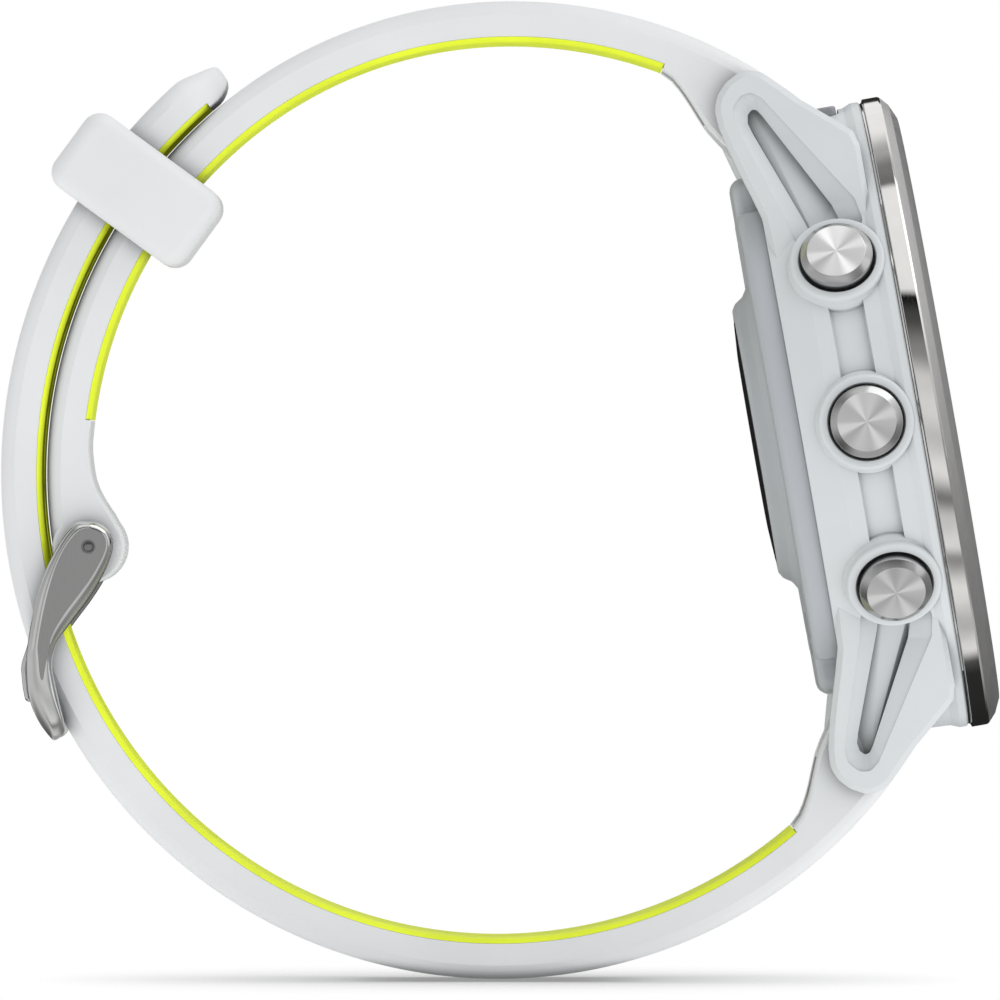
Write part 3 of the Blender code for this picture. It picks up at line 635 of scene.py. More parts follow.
def bezel():
    profile = [
        (20.5, FRONT_Z), (21.5, FRONT_Z, 0.3), (22.55, 12.42, 0.3), (BEZEL_R - 0.08, BAND_TOP + 0.02, 0.1),
        (BEZEL_R, 11.7, 0.05), (BEZEL_R, 10.6, 0.05), (23.02, 10.5, 0.02), (22.95, 10.36),
        (18.4, 10.36), (18.4, 10.9), (18.95, 10.9), (18.95, 12.6, 0.1), (19.15, 12.78, 0.1),
    ]
    mesh = lathe("bezel", fillet(profile, 0.0), 320, closed=True)
    finish = [TITANIUM_BRUSHED, TITANIUM_POLISHED]
    show("bezel_ring", mesh, "watch", ["bezel"], finish, CASE, 18.0)
    for face in mesh.polygons:
        height = face.center.z / MM
        reach = math.hypot(face.center.x, face.center.y) / MM
        face.material_index = 1 if height < BAND_TOP and reach > 22.0 else 0


DIAL_Z = (11.102, 11.16)
STROKE_PLACES = {
    "top": (0.0, 2.6, True), "middle": (0.0, 0.0, True), "bottom": (0.0, -2.6, True),
    "upper_left": (-1.15, 1.3, False), "upper_right": (1.15, 1.3, False),
    "lower_left": (-1.15, -1.3, False), "lower_right": (1.15, -1.3, False),
}
RING = ("top", "bottom", "upper_left", "upper_right", "lower_left", "lower_right")
DIGIT_STROKES = {
    "0": RING, "1": ("upper_right", "lower_right"),
    "9": ("top", "middle", "bottom", "upper_left", "upper_right", "lower_right"),
}


def crystal_and_display():
    profile = [(0, CRYSTAL_Z), (18.5, CRYSTAL_Z, 0.2), (18.82, 12.5, 0.1), (18.82, 11.3), (0, 11.3)]
    glass = turned("crystal", profile, 192)
    show("crystal_lens", glass, "watch", ["crystal"], CRYSTAL, CASE)
    panel = turned("display", [(0, 11.1), (18.0, 11.1, 0.1), (18.0, 10.1), (0, 10.1)], 160)
    show("display_screen", panel, "watch", ["display_panel"], BLACK, CASE)
    dial()


def dial():
    """A generic face: minute marks, an activity arc, a digital time and three data bars."""
    low, high = DIAL_Z

    def mark(name, pieces, material):
        mesh = combine(name, pieces[0], [join(piece) for piece in pieces[1:]])
        show(name, mesh, "watch", [], material, CASE)

    def bar(width, length, u, v, lean=0.0):
        a = math.radians(lean)
        corners = [(sx * width / 2, sy * length / 2) for sx, sy in ((-1, -1), (1, -1), (1, 1), (-1, 1))]
        cos, sin = math.cos(a), math.sin(a)
        outline = [(u + x * cos - y * sin, v + x * sin + y * cos) for x, y in corners]
        return plate("bar", outline, low, high, 0.0)

    ticks = []
    for k in range(60):
        long = k % 5 == 0
        u, v = polar((0.0, 0.0), 16.6 if long else 17.0, 6.0 * k)
        ticks.append(bar(0.34 if long else 0.16, 1.6 if long else 0.8, u, v, 6.0 * k - 90.0))
    mark("dial_ticks", ticks, DIAL_WHITE)
    arc = [polar((0.0, 0.0), 14.6, a) for a in range(-40, 131, 5)]
    arc += [polar((0.0, 0.0), 13.9, a) for a in range(130, -41, -5)]
    mark("dial_arc", [plate("arc", arc, low, high, 0.0)], DIAL_LIME)
    strokes = []
    for place, digit in zip((-8.4, -4.4, 2.0, 6.0), "1009"):
        for stroke in DIGIT_STROKES[digit]:
            u, v, flat = STROKE_PLACES[stroke]
            width, length = (2.0, 0.5) if flat else (0.5, 2.3)
            strokes.append(bar(width, length, place + u, 1.4 + v))
    strokes += [bar(0.55, 0.55, -1.2, 0.5), bar(0.55, 0.55, -1.2, 2.4)]
    mark("dial_time", strokes, DIAL_WHITE)
    mark("dial_bars", [bar(1.5, 3.0 + k, -4.0 + 2.6 * k, -7.5 + 0.5 * k) for k in range(4)], DIAL_LIME)


COVER_R = 21.3
COVER_ARC = 50.4
PIN_PITCH = 2.4
PIN_ROW_Y = -14.5


def back_cover():
    rim = [math.radians(-COVER_ARC + 2 * COVER_ARC * k / 60) for k in range(61)]
    side_arc = [(COVER_R * math.cos(a), COVER_R * math.sin(a)) for a in rim]
    corner = [(11.05, 16.4, 0.5), (11.05, 18.6, 0.9), (9.0, 19.0, 2.5)]
    half = side_arc + corner + [(-x, y, radius) for x, y, radius in reversed(corner)]
    outline = fillet(half + [(-p[0], -p[1], *p[2:]) for p in half], 0.0)
    levels = [(0.0, 1.74), (0.0, 0.65), (0.06, 0.4), (0.2, 0.2), (0.42, 0.07), (0.7, 0.0)]
    outline = anticlockwise(outline)
    base = grid("cover", [[(x, y, z) for x, y in pulled_in(outline, gap)] for gap, z in levels])
    bump = [
        (0, 1.0), (11.6, 1.0), (11.35, -0.02, 0.5), (10.55, -0.5, 0.5), (10.15, -1.1, 0.4), (9.7, -1.38, 0.2),
        (0, -1.42),
    ]
    bowl = [(0, 3.0), (7.8, 3.0), (7.8, 0.9), (9.12, 0.9), (9.12, -2.5), (0, -2.5)]
    steps = [join(turned("bump", bump, 192)), cut(lathe("bowl", bowl, 160))]
    screw_room = [(0, 3), (0.66, 3), (0.66, 0.75), (0.86, 0.75), (0.86, -1), (0, -1)]
    for side in (-1, 1):
        for hand in (-1, 1):
            steps.append(cut(lathe("hole", screw_room, 48), at_mm(hand * SCREW_AT, side * SCREW_AT)))
    socket = fillet([(-5.2, -16.1), (5.2, -16.1), (5.2, -12.9), (-5.2, -12.9)], 1.2)
    steps.append(cut(plate("socket", socket, -1.0, 0.7, 0.0)))
    for k in range(4):
        hole = lathe("pin_hole", [(0, 3), (0.6, 3), (0.6, -1), (0, -1)], 24)
        steps.append(cut(hole, at_mm(PIN_PITCH * (k - 1.5), PIN_ROW_Y)))
    mesh = combine("back_cover", base, steps)
    show("back_shell", mesh, "watch", ["back_cover"], COVER, CASE, 26.0, True)
    profile = [(0, -1.62), (6.5, -1.58), (8.9, -1.42, 0.4), (9.02, -1.1), (9.02, 0.65), (0, 0.65)]
    lens = turned("sensor", profile, 128)
    show("sensor_lens", lens, "watch", ["sensor_window"], SENSOR_GLASS, CASE)


def fasteners():
    profile = [(0, 3.05), (0.6, 3.05), (0.6, 0.7), (0.82, 0.7), (0.82, 0.1, 0.12), (0, 0.1)]
    for number, (hand, side) in enumerate(((-1, -1), (1, -1), (1, 1), (-1, 1)), 1):
        head = turned("head", profile, 48)
        star = [polar((0.0, 0.0), 0.5 if k % 2 else 0.36, 30.0 * k) for k in range(12)]
        mesh = combine("screw", head, [cut(plate("star", star, -0.5, 0.45, 0.0))])
        place = CASE @ at_mm(hand * SCREW_AT, side * SCREW_AT)
        show(f"cover_screw_{number}", mesh, "watch", [f"back_screw_{number}"], STEEL_BRUSHED, place)
    for number in range(1, 5):
        pin = turned("pin", [(0, 1.75), (0.5, 1.75), (0.5, 0.4, 0.15), (0, 0.4)], 32)
        place = CASE @ at_mm(PIN_PITCH * (number - 2.5), PIN_ROW_Y)
        show(f"charge_pin_{number}", pin, "watch", [f"charge_contact_{number}"], GOLD, place)
    lens = fillet([(-4.2, 7.05), (4.2, 7.05), (4.2, 8.55), (-4.2, 8.55)], 0.5)
    mesh = plate("lens", lens, 21.4, 23.12, 0.2, 3, lambda u, v, w: (u, w, v))
    show("torch_lens", mesh, "watch", ["flashlight_lens"], LENS, CASE)


CAP_TOP = 24.4


def buttons():
    cap = [
        (0, CAP_TOP), (2.12, CAP_TOP, 0.04), (2.62, 23.95, 0.12), (2.62, 22.7, 0.1), (0.75, 22.7),
        (0.75, 19.4, 0.1), (0, 19.4),
    ]
    finish = [STEEL_SPUN, STEEL_SATIN]
    for name in BUTTONS:
        mesh = turned("cap", cap, 128)
        place = CASE @ radial_matrix(button_angle(name))
        show(f"cap_{name}", mesh, f"button_{name}", [f"button_{name}"], finish, place, 20.0)
        for face in mesh.polygons:
            face.material_index = 0 if face.center.z / MM > CAP_TOP - 0.01 else 1
        mesh.update()


# ---- strap


def polar(centre, radius, angle):
    a = math.radians(angle)
    return (centre[0] + radius * math.cos(a), centre[1] + radius * math.sin(a))


UPPER_R = (INNER_R, INNER_R - 1.5, INNER_R - 0.35)
UPPER_JOINTS = (130.0, 91.5)
LOWER_R = (OUTER_R, OUTER_R - 2.0, OUTER_R - 2.35)
LOWER_JOINTS = (199.9, 259.1)


def arc_path(radii, joints, rising):
    """A function from (normal angle, offset) to (X, Z) on three arcs that meet smoothly."""
    centres = [LOOP_CENTRE]
    for k in range(2):
        centres.append(polar(centres[k], radii[k] - radii[k + 1], joints[k]))

    def at(angle, offset):
        past = [(angle > j) if rising else (angle < j) for j in joints]
        k = sum(past)
        return polar(centres[k], radii[k] + offset, angle)

    return at


UPPER = arc_path(UPPER_R, UPPER_JOINTS, False)
LOWER = arc_path(LOWER_R, LOWER_JOINTS, True)


def smooth(value, start, end):
    share = min(1.0, max(0.0, (value - start) / (end - start)))
    return share * share * (3.0 - 2.0 * share)


def through(value, table):
    """A smooth curve through (position, value) pairs, flat beyond both ends."""
    if value <= table[0][0]:
        return table[0][1]
    if value >= table[-1][0]:
        return table[-1][1]
    slopes = [(b[1] - a[1]) / (b[0] - a[0]) for a, b in zip(table, table[1:])]
    inner = [0.0 if p * q <= 0 else 2 * p * q / (p + q) for p, q in zip(slopes, slopes[1:])]
    ends = [slopes[0], *inner, slopes[-1]]
    for k, ((a, low), (b, high)) in enumerate(zip(table, table[1:])):
        if value <= b:
            run = b - a
            t = (value - a) / run
            return (
                low * (1 + 2 * t) * (1 - t) ** 2 + high * t * t * (3 - 2 * t)
                + run * (ends[k] * t * (1 - t) ** 2 - ends[k + 1] * t * t * (1 - t))
            )


SHOULDER = [(0.15, 0.36), (0.33, 0.62), (0.56, 0.81), (0.84, 0.93), (1.15, 0.985), (1.5, 1.0)]


def strap_section(half, low, high, edge, fall):
    """A small radius edge below, a flat side, then a shoulder that starts fall below the outer face."""
    side = low + edge
    start = max(side + 0.02, high - fall)
    rise = high - start
    shoulder = [(half - back, start + up * rise) for back, up in SHOULDER]
    right = [
        (0.0, low), (0.5 * half, low), (half - edge - 0.3, low), (half - edge, low),
        (half - 0.3 * edge, low + 0.3 * edge), (half, side), (half, start), *shoulder,
        (0.75 * half, high), (0.4 * half, high), (0.0, high),
    ]
    return right + [(-y, d) for y, d in right[-2:0:-1]]


def band(name, at, stations, section):
    """A strap layer lofted along a path; section gives the (y, offset) points for an angle."""
    rows = []
    for angle in stations:
        spots = [(y, at(angle, offset)) for y, offset in section(angle)]
        rows.append([(x, y, z) for y, (x, z) in spots])
    return grid(name, rows)


def spaced(start, end, step=1.5, extra=()):
    count = max(2, round(abs(end - start) / step))
    values = {round(start + (end - start) * k / count, 4) for k in range(count + 1)} | set(extra)
    return sorted(values)


LINER_UPPER = (69.5, 173.0)
LINER_LOWER = (130.6, 311.0)
MIRROR = 380.9
LUG_DIP = [
    (49.0, -4.95), (53.1, -4.74), (56.9, -4.45), (60.2, -4.0), (62.4, -3.42), (64.6, -2.72), (66.6, -2.1),
    (68.2, -1.7), (69.9, -1.5),
]
PIN_DIP = [
    (176.5, -1.5), (180.4, -1.82), (182.3, -2.16), (184.2, -2.68), (186.4, -3.28), (188.7, -3.66),
    (189.6, -3.75),
]
TAIL_TOP = [
    (127.0, 0.2), (127.05, 0.45), (127.2, 0.62), (127.5, 0.75), (129.4, 1.1), (131.3, 1.46), (131.9, 1.5),
]
TAIL_UNDER = [
    (127.0, -0.15), (127.05, -0.45), (127.2, -0.7), (127.5, -0.95), (128.0, -1.2), (128.7, -1.4),
    (129.4, -1.5),
]
TAIL_TIP = TAIL_TOP[0][0]
LINER_SET_IN = 0.03


def liner_section(half):
    edge = half - LINER_SET_IN
    top = -HALF_T + LINER_T - 0.01
    right = [
        (0.0, -HALF_T), (edge - 0.6, -HALF_T), (edge - 0.45, -HALF_T + 0.03), (edge - 0.03, top - 0.06),
        (edge, top), (0.0, top),
    ]
    return right + [(-y, d) for y, d in right[-2:0:-1]]


def half_width(x):
    """Half of the strap's width at a row X: wide towards the lugs, narrow towards the buckle."""
    return LUG_HALF - (LUG_HALF - NARROW_HALF) * smooth(-x, -14.0, 8.0)


def upper_half_width(angle):
    return half_width(UPPER(angle, 0.0)[0])


def lower_half_width(angle):
    return half_width(LOWER(angle, 0.0)[0])


def tail_width(angle):
    """The tail's end is rounded in plan."""
    half = lower_half_width(angle)
    corner = 5.0
    run = (angle - TAIL_TIP) * math.radians(1.0) * OUTER_R
    if run >= corner:
        return half
    return half - corner + math.sqrt(max(0.0, corner * corner - (corner - run) ** 2)) + 0.02


def latch_place(side):
    along = (CASE_Y * 4.28 * side - NORMAL * 1.95).normalized()
    inward = (NORMAL * 4.28 + CASE_Y * 1.95 * side).normalized()
    origin = CASE_ORIGIN + CASE_Y * (22.87 * side) - NORMAL * 0.85
    across = along.cross(inward)
    return Matrix.Translation(origin * MM) @ Matrix((across, along, inward)).transposed().to_4x4()


def end_cuts(side):
    """What the lug end of a strap is relieved by: the case wall, the latch and the lug bar."""
    room = lathe("room", [(0, 16), (23.25, 16), (23.25, -8), (0, -8)], 192)
    outline = fillet([(-4.7, 0.55), (4.7, 0.55), (4.7, 5.75), (-4.7, 5.75)], 0.5)
    pocket = plate("pocket", outline, -3.0, 1.15, 0.0)
    bore = rod("bore", 0.97, 12)
    return [cut(room, CASE), cut(pocket, latch_place(side)), cut(bore, CASE @ bar_place(side))]


def buckle_strap():
    def section(angle):
        if LINER_UPPER[0] < angle < LINER_UPPER[1]:
            return strap_section(upper_half_width(angle), -HALF_T + LINER_T, HALF_T, 0.05, 1.0)
        low = through(angle, LUG_DIP) if angle < 90.0 else through(angle, PIN_DIP)
        return strap_section(upper_half_width(angle), low, HALF_T, 0.3, 1.0)

    edges = [LINER_UPPER[0], LINER_UPPER[0] + 0.02, LINER_UPPER[1] - 0.02, LINER_UPPER[1]]
    stations = spaced(49.0, 189.5, 1.25, edges)
    base = band("strap", UPPER, stations, section)
    half = NARROW_HALF
    knuckle = turned("knuckle", [(0, half), (2.66, half, 0.35), (2.66, -half, 0.35), (0, -half)], 96)
    gap = fillet([(-3.5, -6.5), (5.0, -6.5), (5.0, 3.0), (-3.5, 3.0)], 0.5)
    notch = plate("notch", gap, -1.5, 1.5, 0.0, place=lambda u, v, w: (u, w, v))
    steps = [join(knuckle, PIN_PLACE), cut(notch, at_mm(*PIN)), cut(rod("bore", 0.68, 12), PIN_PLACE)]
    mesh = combine("strap_upper", base, steps + end_cuts(1))
    show("strap_upper", mesh, "watch", ["strap_buckle_half"], SILICONE, None, 22.0, True)
    stations = spaced(LINER_UPPER[0] + 0.1, LINER_UPPER[1] - 0.1, 1.25)
    liner = band("liner", UPPER, stations, lambda angle: liner_section(upper_half_width(angle)))
    show("liner_upper", liner, "watch", ["strap_buckle_liner"], LIME)


HOLE_FIRST = 156.6
HOLE_PITCH = 10.0


def hole_cutters():
    outline = []
    for side, first in ((1, -90), (-1, 90)):
        outline += [polar((side * 1.5, 0.0), 1.4, a) for a in range(first, first + 181, 10)]
    steps = []
    for k in range(9):
        angle = HOLE_FIRST + HOLE_PITCH * k
        x, z = LOWER(angle, 0.0)
        facing = Matrix.Rotation(math.radians(90.0 - angle), 4, "Y")
        steps.append(cut(plate("hole", outline, -4.0, 4.0, 0.0), at_mm(x, 0.0, z) @ facing))
    return steps


def hole_strap():
    def section(angle):
        high = through(angle, TAIL_TOP)
        fall = max(0.3, 1.0 - 0.5 * (HALF_T - high))
        if LINER_LOWER[0] < angle < LINER_LOWER[1]:
            return strap_section(tail_width(angle), -HALF_T + LINER_T, high, 0.05, fall)
        low = through(angle, TAIL_UNDER) if angle < 200.0 else through(MIRROR - angle, LUG_DIP)
        edge = 0.3 * smooth(angle, TAIL_TIP, TAIL_TIP + 1.0)
        return strap_section(tail_width(angle), low, high, edge, max(0.1, fall))

    edges = [LINER_LOWER[0], LINER_LOWER[0] + 0.02, LINER_LOWER[1] - 0.02, LINER_LOWER[1]]
    tip = [a for a, _ in TAIL_TOP + TAIL_UNDER] + [TAIL_TIP + 0.1, TAIL_TIP + 0.35, TAIL_TIP + 3.0]
    stations = spaced(TAIL_TIP + 5.0, 331.5, 1.25, edges + tip)
    base = band("strap", LOWER, stations, section)
    mesh = combine("strap_lower", base, hole_cutters() + end_cuts(-1))
    show("strap_lower", mesh, "watch", ["strap_hole_half"], SILICONE, None, 22.0, True)
    stations = spaced(LINER_LOWER[0] + 0.03, LINER_LOWER[1] - 0.1, 1.13)
    mesh = band("liner", LOWER, stations, lambda angle: liner_section(tail_width(angle)))
    for cutter in hole_cutters():
        mesh = combine("liner_lower", mesh, [cutter])
    show("liner_lower", mesh, "watch", ["strap_hole_liner"], LIME)


def lug_hardware():
    for side, word in ((1, "upper"), (-1, "lower")):
        tab = fillet([(-4.5, 0.75), (4.5, 0.75), (4.5, 4.15), (-4.5, 4.15)], 0.5)
        mesh = plate("tab", tab, 0.24, 0.95, 0.15)
        latch = f"release_latch_{word}"
        show(f"latch_tab_{word}", mesh, latch, [latch], STEEL_BRUSHED, latch_place(side))
        bar = turned("bar", [(0, 12.3), (0.85, 12.3, 0.15), (0.85, -12.3, 0.15), (0, -12.3)], 48)
        place = CASE @ bar_place(side)
        show(f"spring_bar_{word}", bar, "watch", [f"lug_bar_{word}"], STEEL_POLISHED, place)


# ---- buckle and keeper


def side_point(u, v, w):
    """A point of a side-view outline: u and v are X and Z from the buckle pin, w is Y."""
    return (PIN.x + u, w, PIN.z + v)


def metal_faces(obj, is_flat):
    """Brushed where is_flat says so, polished on the bevels between."""
    for face in obj.data.polygons:
        face.material_index = 0 if is_flat(face.normal) else 1


ARM = [
    (-1.14, 1.57, -0.96, 0.93), (-2.5, -0.43, -2.05, -0.7), (-3.68, -3.33, -2.95, -3.33),
    (-4.4, -6.96, -3.64, -6.78), (-4.5, -8.95, -3.62, -8.2), (-4.31, -10.95, -3.55, -9.1),
    (-3.68, -12.58, -3.48, -9.5), (-2.72, -13.9, -3.42, -9.66), (-2.32, -14.02, -3.36, -9.7),
    (-1.85, -13.6, -3.3, -9.66), (-1.72, -12.95, -3.25, -9.5), (-2.14, -11.13, -3.18, -9.1),
    (-2.6, -8.95, -3.04, -8.3), (-2.5, -7.69, -2.86, -7.3), (-2.05, -6.6, -2.55, -6.27),
    (-1.14, -5.33, -1.72, -4.87), (-0.05, -3.87, -0.63, -3.42), (0.86, -2.42, 0.28, -2.15),
    (1.58, -0.97, 1.07, -0.7), (1.83, 0.12, 1.31, 0.21), (1.58, 1.03, 1.13, 0.81), (0.86, 1.66, 0.67, 1.17),
    (-0.05, 1.84, -0.14, 1.35),
]
ARM_NEAR = 12.1
ARM_FAR = 10.5


def closed_curve(points, steps=5):
    """A smooth closed curve through points of any dimension."""
    count = len(points)
    curve = []
    for i in range(count):
        a, b, c, d = (Vector(points[(i + k) % count]) for k in (-1, 0, 1, 2))
        bend, twist = 2 * a - 5 * b + 4 * c - d, 3 * (b - c) + d - a
        for k in range(steps):
            t = k / steps
            curve.append(tuple(b + 0.5 * t * ((c - a) + t * (bend + t * twist))))
    return curve


def arm(hand):
    """A buckle arm: its outer face is a flat that narrows to a point, with a rounded flank all round it."""
    both = closed_curve(ARM)
    rows = [[(u, v, ARM_FAR + 0.25) for u, v, _, _ in both]]
    rows.insert(0, [(0.85 * u + 0.15 * fu, 0.85 * v + 0.15 * fv, ARM_FAR) for u, v, fu, fv in both])
    for share, depth in ((0.0, 0.8), (0.1, 0.52), (0.32, 0.26), (0.65, 0.09), (1.0, 0.0)):
        rows.append([(u + share * (fu - u), v + share * (fv - v), ARM_NEAR - depth) for u, v, fu, fv in both])
    return grid("arm", [[side_point(u, v, hand * w) for u, v, w in row] for row in rows])


END_BAR = [
    (-4.15, -11.5), (-3.65, -12.4), (-2.8, -13.6), (-2.35, -13.85), (-1.95, -13.5), (-2.4, -12.5),
    (-2.9, -11.6), (-3.6, -11.2),
]
BLADE = [
    (0.0, 1.25, 0.8), (-1.0, 0.6, 0.8), (-1.6, -1.2, 2), (-2.9, -4.0, 3), (-4.45, -6.7, 2), (-5.1, -8.7, 2),
    (-4.95, -10.3, 2), (-4.75, -11.3, 0.4), (-4.3, -11.35, 0.4), (-4.15, -9.4, 2), (-3.65, -7.4, 2),
    (-2.0, -4.6, 3), (-0.4, -1.6, 2), (1.1, -0.4, 0.8),
]


def buckle():
    bar = plate("bar", fillet(END_BAR, 0.35), -11.3, 11.3, 0.1, 2, side_point)
    half_bore = [(0, 14), (0.52, 14), (0.52, 11.5), (0.68, 11.5)]
    bore = lathe("bore", half_bore + [(r, -z) for r, z in half_bore[::-1]], 48)
    mesh = combine("buckle", arm(-1), [join(arm(1)), join(bar), cut(bore, PIN_PLACE)])
    metal = [STEEL_BRUSHED, STEEL_POLISHED]
    obj = show("buckle_loop", mesh, "buckle_frame", ["buckle_frame"], metal, None, 28.0, True)
    metal_faces(obj, lambda normal: abs(normal.y) > 0.9999)
    half_pin = [(0, 11.98), (0.37, 11.9, 0.08), (0.37, 11.4), (0.6, 11.4)]
    pin = turned("pin", half_pin + [(r, -z, *more) for r, z, *more in half_pin[::-1]], 48)
    show("buckle_axle", pin, "watch", ["buckle_pin"], STEEL_DARK, PIN_PLACE)
    blade = plate("blade", fillet(BLADE, 0.5), -0.95, 0.95, 0.25, 3, side_point)
    mesh = combine("blade", blade, [cut(rod("bore", 0.68, 2), PIN_PLACE)])
    obj = show("buckle_prong", mesh, "buckle_tongue", ["buckle_tongue"], metal, None, 30.0, True)
    metal_faces(obj, lambda normal: abs(normal.y) > 0.97)


KEEPER_SIDE = (29.0, 40.9, 3.2)
KEEPER_OPENING = [(31.3, -10.45), (38.3, -10.45), (38.3, 10.45), (31.3, 10.45)]
KEEPER_MOUTH = [(-0.9, -4.0), (-0.4, -3.2), (0.0, -2.7), (0.0, 2.7), (-0.4, 3.2), (-0.9, 4.0)]


def keeper():
    low, high = (mm(corner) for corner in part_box("strap_keeper"))
    middle = 0.5 * (low + high) - LOOP
    angle = math.atan2(middle.z, middle.x)
    out = Vector((math.cos(angle), 0.0, math.sin(angle)))
    along = Vector((-math.sin(angle), 0.0, math.cos(angle)))

    def point(u, v, w):
        return LOOP + out * u + along * v + Vector((0.0, w, 0.0))

    near, far, length = KEEPER_SIDE
    outline = fillet([(near, -length), (far, -length), (far, length), (near, length)], 1.4, steps=6)
    outer = plate("keeper", outline, -high.y, high.y, 1.1, 6, point)
    hole = anticlockwise(fillet(KEEPER_OPENING, 0.8))
    rows = [[point(u, v, w) for u, w in inset(hole, gap)] for gap, v in KEEPER_MOUTH]
    mesh = combine("keeper", outer, [cut(grid("opening", rows))])
    show("keeper_loop", mesh, "strap_keeper", ["strap_keeper"], SILICONE, None, 35.0, True)


# ---- what stays hidden inside

INSIDE = {
    "stone_polymer": STONE, "seal_rubber": RUBBER, "board": BOARD, "battery_foil": FOIL,
    "black_plastic": BLACK, "contact_gold": GOLD, "steel": STEEL_BRUSHED, "lens_polymer": LENS,
}


def inner_nodes():
    """CAD pieces that stay as they are get the finish of their material slot."""
    slots = {part["node"]: part["material_slot"] for part in frame["record"]["subparts"]}
    for name, obj in frame["nodes"].items():
        if not obj.hide_render and slots[name] in INSIDE:
            obj.data.materials.clear()
            obj.data.materials.append(INSIDE[slots[name]])


# ---- stage


SOFTBOXES = {
    "top_light": ((0.35, -0.1, 0.75), (0.6, 0.6), 1.1),
    "left_light": ((-0.8, -0.4, 0.35), (0.5, 0.6), 0.2),
    "right_light": ((0.9, -0.35, 0.2), (0.4, 0.5), 0.3),
}
LIT_POINT = Vector((0.0, 0.0, 0.035))
CAMERA_AT = (-0.00008, -2.028, 0.03481)
CAMERA_LENS = 1000.0


def softbox(name, location, size, power):
    light = bpy.data.lights.new(name, "AREA")
    light.shape = "RECTANGLE"
    light.size, light.size_y = size
    light.energy = power
    obj = bpy.data.objects.new(name, light)
    bpy.context.scene.collection.objects.link(obj)
    obj.location = location
    obj.rotation_euler = (LIT_POINT - Vector(location)).to_track_quat("-Z", "Y").to_euler()


GLOSS_BANDS = [
    (0.0, 0.02), (0.185, 0.03), (0.205, 0.08), (0.228, 0.95), (0.264, 0.6), (0.308, 1.0), (0.345, 0.35),
    (0.361, 0.95), (0.389, 0.75), (0.411, 0.25), (0.439, 1.0), (0.472, 0.7), (0.5, 0.9), (0.53, 0.8),
    (0.56, 0.3), (0.594, 0.08), (0.618, 0.0), (0.624, 1.05), (0.75, 1.1), (0.758, 0.2), (0.783, 0.25),
    (0.81, 0.5), (0.853, 1.1), (0.94, 1.1), (0.95, 0.03), (1.0, 0.02),
]
DIFFUSE_SKY = [(0.0, 0.18), (0.3, 0.30), (0.5, 0.54), (0.72, 0.9), (1.0, 1.15)]
SKY_LIGHT = (0.52, -0.1, 0.85)
SKY_STRENGTH = 0.87
SIDE_GLOSS = [(0.0, 0.12), (0.2, 0.8), (0.35, 0.6), (0.52, 0.3), (0.7, 0.38), (0.85, 0.7), (1.0, 1.3)]
SIDE_SPAN = (0.25, 0.75)


def studio():
    """White to the camera, a soft gradient for light, and light and dark bands for what metal mirrors."""
    world = bpy.data.worlds.new("studio")
    bpy.context.scene.world = world
    world.use_nodes = True
    nodes = Nodes(world.node_tree)
    coords = nodes.node("ShaderNodeTexCoord").outputs["Generated"]
    lean = nodes.vectors("DOT_PRODUCT", coords, Vector(SKY_LIGHT).normalized(), result="Value")
    height = nodes.spread(lean, 0.0, 1.0, -1.0, 1.0)
    split = nodes.node("ShaderNodeSeparateXYZ")
    nodes.wire(coords, split.inputs["Vector"])
    ahead = nodes.maths("MULTIPLY", split.outputs["Y"], -1.0)
    turn = nodes.maths("ARCTAN2", split.outputs["Z"], ahead)
    around = nodes.spread(turn, 0.0, 1.0, -math.pi, math.pi)
    aside = nodes.maths("ABSOLUTE", split.outputs["X"])
    sideways = nodes.spread(aside, 0.0, 1.0, *SIDE_SPAN, interpolation_type="SMOOTHSTEP")
    mirrored = nodes.mix(sideways, nodes.ramp(around, GLOSS_BANDS), nodes.ramp(height, SIDE_GLOSS))
    light = nodes.mix(nodes.ray("Glossy"), nodes.ramp(height, DIFFUSE_SKY), mirrored)
    white = (*[1.0 / SKY_STRENGTH] * 3, 1.0)
    backdrop = nodes.tree.nodes["Background"]
    nodes.wire(SKY_STRENGTH, backdrop.inputs["Strength"])
    nodes.wire(nodes.mix(nodes.ray("Camera"), light, white), backdrop.inputs["Color"])


SHADE_REACH = 90.0
FLOOR_SIZE = 6.0
FLOOR_DROP = 0.0002
SHADOW_OVAL = (FLOOR_SIZE, 0.45 * FLOOR_SIZE, 1.0)
SHADOW_FADE = (0.010, 0.034)


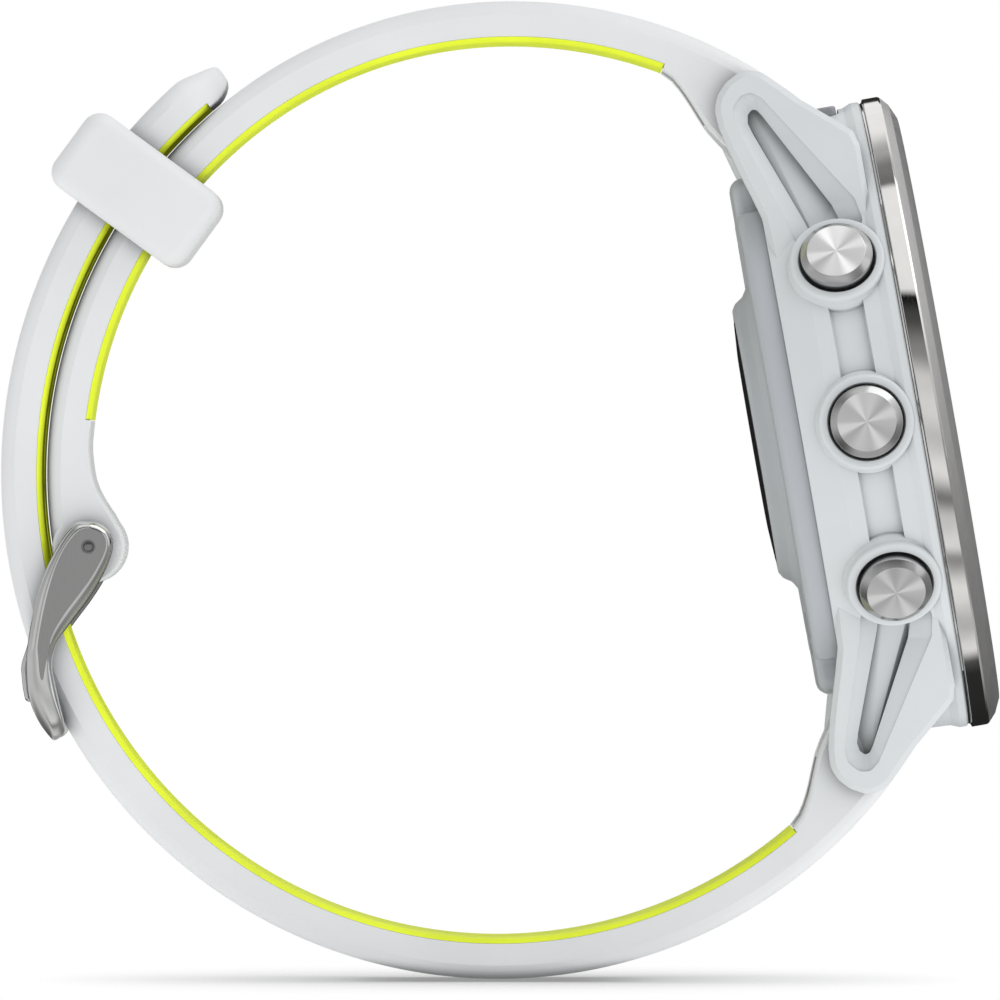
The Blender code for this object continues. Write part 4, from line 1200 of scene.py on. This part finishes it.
def floor_material():
    """Matt paper with a painted shadow of what stands on it, in its colour and its glow, which fades to plain
    white round an oval.
    """
    paint = Shader("floor_paint", (0.88, 0.88, 0.88), 0.7)
    paint.tint(paint.noise(3.0), 0.01)
    # painted shadow: the floor's colour darkens where the watch is near
    paint.painted_crevice_shade(SHADE_REACH, 0.7, (0.6, 0.99))
    # painted shadow: the floor's glow dims where the watch is near
    own = paint.spread(paint.nearness(SHADE_REACH), 0.0, 0.26, 0.7, 0.99)
    bounced = paint.ray("Diffuse")
    lift = paint.spread(bounced, 0.0, 0.22, 0.0, 1.0)
    glow = paint.maths("ADD", own, lift)
    paint.set(Emission_Color=(1.0, 1.0, 1.0, 1.0), Emission_Strength=glow, Specular_IOR_Level=0.1)
    white = paint.node("ShaderNodeEmission")
    paint.wire(paint.spread(bounced, 1.0, 1.25, 0.0, 1.0), white.inputs["Strength"])
    reach = paint.vectors("LENGTH", paint.vectors("MULTIPLY", paint.coords, SHADOW_OVAL), result="Value")
    fade = paint.spread(reach, 0.25, 1.0, *SHADOW_FADE)
    paint.surface(fade, paint.bsdf.outputs["BSDF"], white.outputs["Emission"])
    return paint.material


def stage():
    bm = bmesh.new()
    bmesh.ops.create_grid(bm, x_segments=1, y_segments=1, size=0.5)
    mesh = bpy.data.meshes.new("floor")
    bm.to_mesh(mesh)
    bm.free()
    mesh.materials.append(floor_material())
    spread_out = Matrix.Diagonal((FLOOR_SIZE, FLOOR_SIZE, 1.0, 1.0))
    ground = temporary(mesh, Matrix.Translation((0.0, 0.0, -FLOOR_DROP)) @ spread_out)
    ground.visible_glossy = False
    studio()
    for name, (location, size, power) in SOFTBOXES.items():
        softbox(name, location, size, power)
    scene = bpy.context.scene
    scene.view_settings.view_transform = "Standard"
    camera = bpy.data.cameras.new("camera")
    camera.lens = CAMERA_LENS
    camera.sensor_width = 36.0
    camera.clip_start = 0.1
    camera.clip_end = 50.0
    holder = bpy.data.objects.new("camera", camera)
    scene.collection.objects.link(holder)
    holder.location = CAMERA_AT
    holder.rotation_euler = (math.radians(90.0), 0.0, 0.0)
    scene.camera = holder


case_body()
bezel()
crystal_and_display()
back_cover()
fasteners()
buttons()
buckle_strap()
hole_strap()
lug_hardware()
buckle()
keeper()
inner_nodes()
stage()
